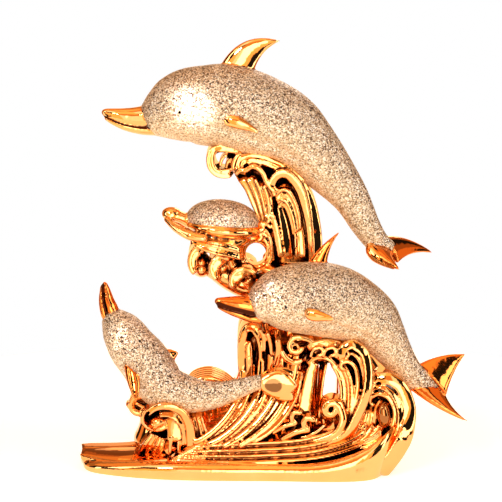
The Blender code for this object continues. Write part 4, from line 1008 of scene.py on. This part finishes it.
# painted red shade: the redder plating of marked fins, beaks and water
PAINTED_RED_SHADE = (0.86, 0.27, 0.055)
GRAIN_SIZE = 0.00078
GRIT_COLOURS = [(0.0, (0.02, 0.01, 0.008)), (0.18, (0.09, 0.045, 0.03)), (0.28, (0.38, 0.24, 0.14)),
                (0.55, (0.58, 0.43, 0.28)), (0.75, (0.82, 0.68, 0.48)), (1.0, (1.0, 0.96, 0.88))]
BELLY_COLOURS = [(0.0, (0.42, 0.24, 0.10)), (0.15, (0.80, 0.55, 0.28)), (0.6, (0.95, 0.76, 0.44)),
                 (1.0, (1.0, 0.94, 0.72))]


def node(tree, kind, inputs=None, **settings):
    """A shader node with its settings, and inputs that are values or other nodes' sockets."""
    made = tree.nodes.new("ShaderNode" + kind)
    for name, value in settings.items():
        setattr(made, name, value)
    for name, value in (inputs or {}).items():
        if isinstance(value, bpy.types.NodeSocket):
            tree.links.new(value, made.inputs[name])
        else:
            made.inputs[name].default_value = value
    return made


def ramp(tree, factor, stops, smooth=False):
    """A colour ramp over (place, colour or grey) stops."""
    made = node(tree, "ValToRGB", {"Fac": factor})
    if smooth:
        made.color_ramp.interpolation = "EASE"
    elements = made.color_ramp.elements
    while len(elements) < len(stops):
        elements.new(0.5)
    for element, (place, colour) in zip(elements, stops):
        element.position = place
        element.color = tuple(colour) + (1,) if isinstance(colour, tuple) else (colour, colour, colour, 1)
    return made.outputs["Color"]


def mixed(tree, share, one, other):
    """A colour between two, each a socket or a plain colour."""
    one, other = (colour + (1,) if isinstance(colour, tuple) else colour for colour in (one, other))
    return node(tree, "Mix", {0: share, 6: one, 7: other}, data_type="RGBA").outputs[2]


def marked(tree, name):
    """What is stored on the corners under that name."""
    return node(tree, "Attribute", attribute_name=name).outputs["Fac"]


def plated_and_sanded():
    """Rose gold plating, and where the skin is marked sanded a coat of fine glassy grit."""
    material = bpy.data.materials.new("plated_ceramic")
    material.use_nodes = True
    tree = material.node_tree
    tree.nodes.clear()
    place = node(tree, "TexCoord").outputs["Object"]
    wave = node(tree, "TexNoise", {"Vector": place, "Scale": 95.0, "Detail": 2.0, "Roughness": 0.5})
    fine = node(tree, "TexNoise", {"Vector": place, "Scale": 420.0, "Detail": 1.0})
    ripple = node(tree, "Bump", {"Height": wave.outputs["Fac"], "Strength": 0.13, "Distance": 0.0022})
    ripple = node(tree, "Bump", {"Height": fine.outputs["Fac"], "Strength": 0.05, "Distance": 0.0006,
                                 "Normal": ripple.outputs["Normal"]})
    tint = node(tree, "TexNoise", {"Vector": place, "Scale": 30.0, "Detail": 3.0})
    gold = ramp(tree, tint.outputs["Fac"], [(0.3, PLATE_DEEP), (0.7, PLATE)])
    # painted highlight: the plating turns paler along ridges
    gold = mixed(tree, ramp(tree, marked(tree, "ridge"), [(0.4, 0.0), (1.0, 0.7)]), gold, PAINTED_HIGHLIGHT_PALE)
    # painted red shade: the plating turns redder where it is marked
    gold = mixed(tree, marked(tree, "deep"), gold, PAINTED_RED_SHADE)
    # painted shade: the plating turns near black where the corners are marked shut in
    gold = mixed(tree, ramp(tree, marked(tree, "hollow"), [(0.3, 0.0), (0.62, 1.0)]), gold, PAINTED_SHADE_DARK)
    smear = node(tree, "MapRange", {"Value": tint.outputs["Fac"], "From Min": 0.3, "From Max": 0.8,
                                    "To Min": 0.035, "To Max": 0.10})
    plate = node(tree, "BsdfPrincipled", {"Base Color": gold, "Metallic": 1.0,
                                          "Roughness": smear.outputs["Result"],
                                          "Normal": ripple.outputs["Normal"]})

    grains = node(tree, "TexVoronoi", {"Vector": place, "Scale": 1 / GRAIN_SIZE, "Randomness": 1.0})
    lot = node(tree, "SeparateColor", {"Color": grains.outputs["Color"]})
    grit = ramp(tree, lot.outputs["Red"], GRIT_COLOURS)
    facing = node(tree, "SeparateXYZ", {"Vector": node(tree, "TexCoord").outputs["Normal"]})
    below = node(tree, "MapRange", {"Value": facing.outputs["Z"], "From Min": 0.15, "From Max": -0.75,
                                    "To Min": 0.0, "To Max": 0.75})
    under = ramp(tree, lot.outputs["Red"], BELLY_COLOURS)
    colour = mixed(tree, below.outputs["Result"], grit, under)
    lumps = node(tree, "Math", {0: lot.outputs["Green"], 1: grains.outputs["Distance"]},
                 operation="MULTIPLY")
    rough = node(tree, "Bump", {"Height": lumps.outputs["Value"], "Strength": 0.75, "Distance": 0.0006})
    sand = node(tree, "BsdfPrincipled", {"Base Color": colour, "Metallic": 0.55,
                                         "Roughness": 0.42, "Normal": rough.outputs["Normal"]})

    both = node(tree, "MixShader", {0: marked(tree, "sanded"), 1: plate.outputs["BSDF"],
                                    2: sand.outputs["BSDF"]})
    out = node(tree, "OutputMaterial", {"Surface": both.outputs["Shader"]})
    out.is_active_output = True
    return material


def clouded(name, scale, stops, roughness):
    """A faintly clouded material, and its shader."""
    material = bpy.data.materials.new(name)
    material.use_nodes = True
    tree = material.node_tree
    shader = tree.nodes["Principled BSDF"]
    cloud = node(tree, "TexNoise", {"Vector": node(tree, "TexCoord").outputs["Object"], "Scale": scale})
    tree.links.new(ramp(tree, cloud.outputs["Fac"], stops), shader.inputs["Base Color"])
    shader.inputs["Roughness"].default_value = roughness
    return material, shader


# Studio

PANEL_BLUR = 0.003          # half the blur between two panels, as a share of the way round
RING_BLUR = 0.006           # and between two rings, as a share of the height


def panels(*bands):
    """Ramp stops for a ring of panels, each a (from, to, colour) in degrees round from the left."""
    stops = []
    for start, end, colour in bands:
        stops += [((start + 180) / 360 + PANEL_BLUR, colour), ((end + 180) / 360 - PANEL_BLUR, colour)]
    return stops


PANEL_STRENGTH = 4.2
DARK = 0.004
BRIGHT = (1.0, 0.97, 0.92)
WARM = (0.22, 0.095, 0.030)
AMBER = (0.40, 0.22, 0.09)
DIM = (0.10, 0.045, 0.015)
WHITE = (0.36, 0.35, 0.33)
# What stands round the statue, each ring from an angle above the floor upwards.
RINGS = [
    (-90, panels((-180, 180, WHITE))),
    (-35, panels((-180, -148, AMBER), (-148, -128, DARK), (-128, -100, WARM), (-100, -72, DARK),
                 (-72, -64, BRIGHT), (-64, -44, DARK), (-44, -16, AMBER), (-16, -6, WHITE),
                 (-6, 14, BRIGHT), (14, 28, AMBER), (28, 60, DARK), (60, 72, BRIGHT), (72, 92, DARK),
                 (92, 122, WARM), (122, 150, DARK), (150, 180, AMBER))),
    (22, panels((-180, -95, DIM), (-95, -60, DARK), (-60, -46, BRIGHT), (-46, -18, DARK), (-18, 8, WARM),
                (8, 20, WHITE), (20, 62, DARK), (62, 78, BRIGHT), (78, 110, DIM), (110, 130, DARK),
                (130, 180, DIM))),
    (44, panels((-180, -120, WARM), (-120, -60, WARM), (-60, -20, WHITE), (-20, 20, AMBER),
                (20, 30, DARK), (30, 70, WARM), (70, 110, DIM), (110, 140, DARK), (140, 180, WARM))),
    (70, panels((-180, -120, AMBER), (-120, -30, WARM), (-30, 60, AMBER), (60, 120, WARM),
                (120, 180, AMBER))),
]


def studio():
    """White and gold panels round a dark room, as the plating mirrors them, and a white backdrop."""
    world = bpy.data.worlds.new("studio")
    bpy.context.scene.world = world
    world.use_nodes = True
    tree = world.node_tree
    tree.nodes.clear()
    way = node(tree, "SeparateXYZ", {"Vector": node(tree, "TexCoord").outputs["Generated"]})
    ahead = node(tree, "Math", {0: way.outputs["Y"], 1: -1.0}, operation="MULTIPLY")
    turn = node(tree, "Math", {0: way.outputs["X"], 1: ahead.outputs["Value"]}, operation="ARCTAN2")
    share = node(tree, "MapRange", {"Value": turn.outputs["Value"],
                                    "From Min": -math.pi, "From Max": math.pi})
    level = node(tree, "MapRange", {"Value": way.outputs["Z"], "From Min": -1.0, "From Max": 1.0})
    dome = ramp(tree, share.outputs["Result"], RINGS[0][1])
    for start, ring in RINGS[1:]:
        place = (1 + math.sin(math.radians(start))) / 2
        step = ramp(tree, level.outputs["Result"], [(place - RING_BLUR, 0.0), (place + RING_BLUR, 1.0)])
        dome = mixed(tree, step, dome, ramp(tree, share.outputs["Result"], ring))
    shown = node(tree, "Background", {"Color": dome, "Strength": PANEL_STRENGTH})
    seen = node(tree, "Background", {"Color": (1, 1, 1, 1), "Strength": 1.0})
    rays = node(tree, "LightPath")
    both = node(tree, "MixShader", {0: rays.outputs["Is Camera Ray"], 1: shown.outputs["Background"],
                                    2: seen.outputs["Background"]})
    node(tree, "OutputWorld", {"Surface": both.outputs["Shader"]})


FLOOR_RADIUS = 0.42
DISTANCE = 1.6
AIM = Vector((0.0045, 0, 0.162))
RISE_OF_VIEW = 10       # degrees
FRAME = 502
PIXEL = 0.00075         # what a pixel of the frame covers at the aim
SENSOR = 36


def stood(thing, place, way):
    """Stands a lamp or the camera at a place, facing that way."""
    thing.location = place
    thing.rotation_mode = "QUATERNION"
    thing.rotation_quaternion = way.to_track_quat("-Z", "Y")


def camera():
    lens = bpy.data.cameras.new("camera")
    lens.sensor_width = SENSOR
    lens.lens = SENSOR * DISTANCE / (FRAME * PIXEL)
    eye = linked("camera", lens)
    tip = math.radians(RISE_OF_VIEW)
    back = Vector((0, -math.cos(tip), math.sin(tip)))
    stood(eye, AIM + back * DISTANCE, -back)
    bpy.context.scene.camera = eye


def lamp(name, place, size, power, aim=(0, 0, 0.17), spread_angle=180):
    light = bpy.data.lights.new(name, "AREA")
    light.shape = "DISK"
    light.size = size
    light.energy = power
    light.spread = math.radians(spread_angle)
    stood(linked(name, light), place, Vector(aim) - Vector(place))


def floor():
    """A white disc that glows a little, part of the stage."""
    skin = bmesh.new()
    bmesh.ops.create_circle(skin, cap_ends=True, segments=96, radius=FLOOR_RADIUS)
    thing = placed("studio_floor", skin)
    white, shader = clouded("studio_floor", 3.0, [(0.2, 0.86), (0.8, 0.9)], 0.7)
    shader.inputs["Emission Color"].default_value = (1, 0.98, 0.95, 1)
    shader.inputs["Emission Strength"].default_value = 0.6
    thing.data.materials.append(white)


# The statue

TURTLE_SEED = 11
# the painted red shade near chosen fins and the beak fades out over this
RED_SHADE_FADE = 1.2             # millimetres over which a deeper tint fades out
GRIT_HEIGHT = 0.0001
EYE_RADIUS = 0.0011
EYE_SUNK = 0.0003


def dolphin(name, seed):
    """A dolphin's one skin, with its marks of painted shade and painted highlight, grit and eyes."""
    facts = DOLPHINS[name]
    beak, jaw, fins = facts["beak"], facts["jaw"], facts["fins"]

    def sanded(skin):
        body(skin, facts["spine"], facts["girth"])

    def plated(skin):
        plating(skin, beak, jaw, fins, facts["flippers"])

    def mouth(skin):
        mouth_shade_leaf(skin, beak, jaw, *facts["mouth"])

    def red_shaded_fins(skin):
        for number in facts["red_shaded_fins"]:
            blade(skin, *fins[number])

    thing = whole_skin([sanded, plated], SKIN_GRAIN, name)
    # painted shade in hollows, painted highlights on ridges
    mark_painted_shade_and_highlights(thing)
    mask = mark_sanded(thing, [sanded], [plated])
    # painted shade along the mouth line
    mark_near(thing, "hollow", mouth, facts["mouth_shade_fade"])
    # painted red shade on chosen fins, and below on the beak
    mark_near(thing, "deep", red_shaded_fins, RED_SHADE_FADE)
    if facts["red_shaded_jaw"]:
        mark_near(thing, "deep", lambda skin: beaked(skin, beak, jaw), RED_SHADE_FADE, facts["red_shaded_jaw"])
    # painted shade on an oval of the flukes
    if "shade_patch" in facts:
        mark_near(thing, "hollow", lambda skin: ball(skin, *facts["shade_patch"]), 1.5, 0.55)
    grit(thing, mask, GRIT_HEIGHT, seed)
    thing.data.materials.append(GLAZE)
    add_eyes(thing, facts["eyes"])
    return thing


def add_eyes(thing, eyes):
    """A black bead half sunk in the skin nearest to each point."""
    thing.data.materials.append(EYE)
    skin = bmesh.new()
    skin.from_mesh(thing.data)
    for eye in eyes:
        where = Vector(at(eye)[0])
        found = thing.closest_point_on_mesh(where)
        bead = bmesh.ops.create_icosphere(skin, subdivisions=2, radius=EYE_RADIUS)
        bmesh.ops.translate(skin, verts=bead["verts"], vec=found[1] - found[2] * EYE_SUNK)
        for face in {f for v in bead["verts"] for f in v.link_faces}:
            face.material_index = 1
            face.smooth = True
    skin.to_mesh(thing.data)
    skin.free()


def inside_the_cad(things):
    """Draws every piece in, by the same shares, so that together they stay inside the CAD box."""
    low, high = np.array(CAD_BOX[0]), np.array(CAD_BOX[1])
    allpoints = [rows(thing.data.vertices, "co") for thing in things]
    least = np.min([p.min(axis=0) for p in allpoints], axis=0)
    most = np.max([p.max(axis=0) for p in allpoints], axis=0)
    middle = np.array([(low[0] + high[0]) / 2, (low[1] + high[1]) / 2, 0])
    scale = []
    for k in range(3):
        reach = [(high[k] - middle[k]) / (most[k] - middle[k])]
        if k < 2:
            reach.append((low[k] - middle[k]) / (least[k] - middle[k]))
        scale.append(min(1, *reach))
    for thing, points in zip(things, allpoints):
        moved = middle + (points - middle) * np.array(scale)
        thing.data.vertices.foreach_set("co", moved.astype(np.float32).ravel())
        thing.data.update()


bpy.context.scene.view_settings.view_transform = "Standard"
camera()
floor()
studio()
lamp("key", (-0.75, -1.5, 1.25), 0.35, 6.5)
lamp("fill", (1.2, -1.0, 0.9), 0.6, 3)
lamp("back", (0.5, 1.4, 1.1), 0.6, 4)
# narrow beams on the three cheeks and the turtle's shell
for name, aim, power in (("top_cheek", (-0.039, -0.03, 0.274), 0.011),
                         ("middle_cheek", (0.014, -0.056, 0.14), 0.0025),
                         ("small_cheek", (-0.088, -0.033, 0.104), 0.0025)):
    lamp(name, (aim[0] - 0.4, -1.0, aim[2] + 0.35), 0.012, power, aim, spread_angle=1.6)
lamp("shell", (-0.4, -1.0, 0.55), 0.03, 0.006, (-0.017, -0.02, 0.192), spread_angle=4.5)

GLAZE = plated_and_sanded()
EYE = clouded("eye", 900.0, [(0.3, 0.004), (0.8, 0.02)], 0.25)[0]
pieces = [dolphin(name, seed) for seed, name in enumerate(DOLPHINS)]

tortoise = whole_skin([turtle_shell, turtle_body], SKIN_GRAIN, "turtle")
# painted shade in hollows, painted highlights on ridges
mark_painted_shade_and_highlights(tortoise)
grit(tortoise, mark_sanded(tortoise, [turtle_shell], [turtle_body]), GRIT_HEIGHT, TURTLE_SEED)
tortoise.data.materials.append(GLAZE)
pieces.append(tortoise)

# Each piece of water has how strongly painted red shade tints it all over, its forms, and the painted
# shade and painted red shade marked near some of them.
for name, deep, forms, marks in (
        ("upper_waves", 0.12, (column, top_scroll, turtle_wave), ()),
        ("left_waves", 0.4, (great_wave, barrel, back_crest), ()),
        ("right_waves", 0.15, (right_crests, tangled_water),
         # painted shade and painted red shade on the oval inside the farther crest
         (("hollow", crest_oval, 0.5, 0.5), ("deep", crest_oval, 0.5, 0.5))),
        ("foot", 0.0, (base, base_water),
         # painted red shade near the base's ridges, painted shade and painted red shade on the tongue's
         # top, painted shade on the band's two lines
         (("deep", base_water, 1.2, 0.36), ("deep", tongue_shade_leaf, 3.0, 0.9),
          ("hollow", tongue_shade_leaf, 2.0, 0.46), ("hollow", band_lines, 0.2)))):
    wave = whole_skin(forms, WAVE_GRAIN, name)
    flat_underside(wave)
    # painted shade in hollows, painted highlights on ridges
    mark_painted_shade_and_highlights(wave)
    # painted red shade over the whole piece, by the amount listed for it
    store(wave.data, "deep", np.full(len(wave.data.vertices), deep))
    for mark in marks:
        mark_near(wave, *mark)
    wave.data.materials.append(GLAZE)
    pieces.append(wave)

inside_the_cad(pieces)
for piece in pieces:
    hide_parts("dolphin_statue")
    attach(piece, "root")
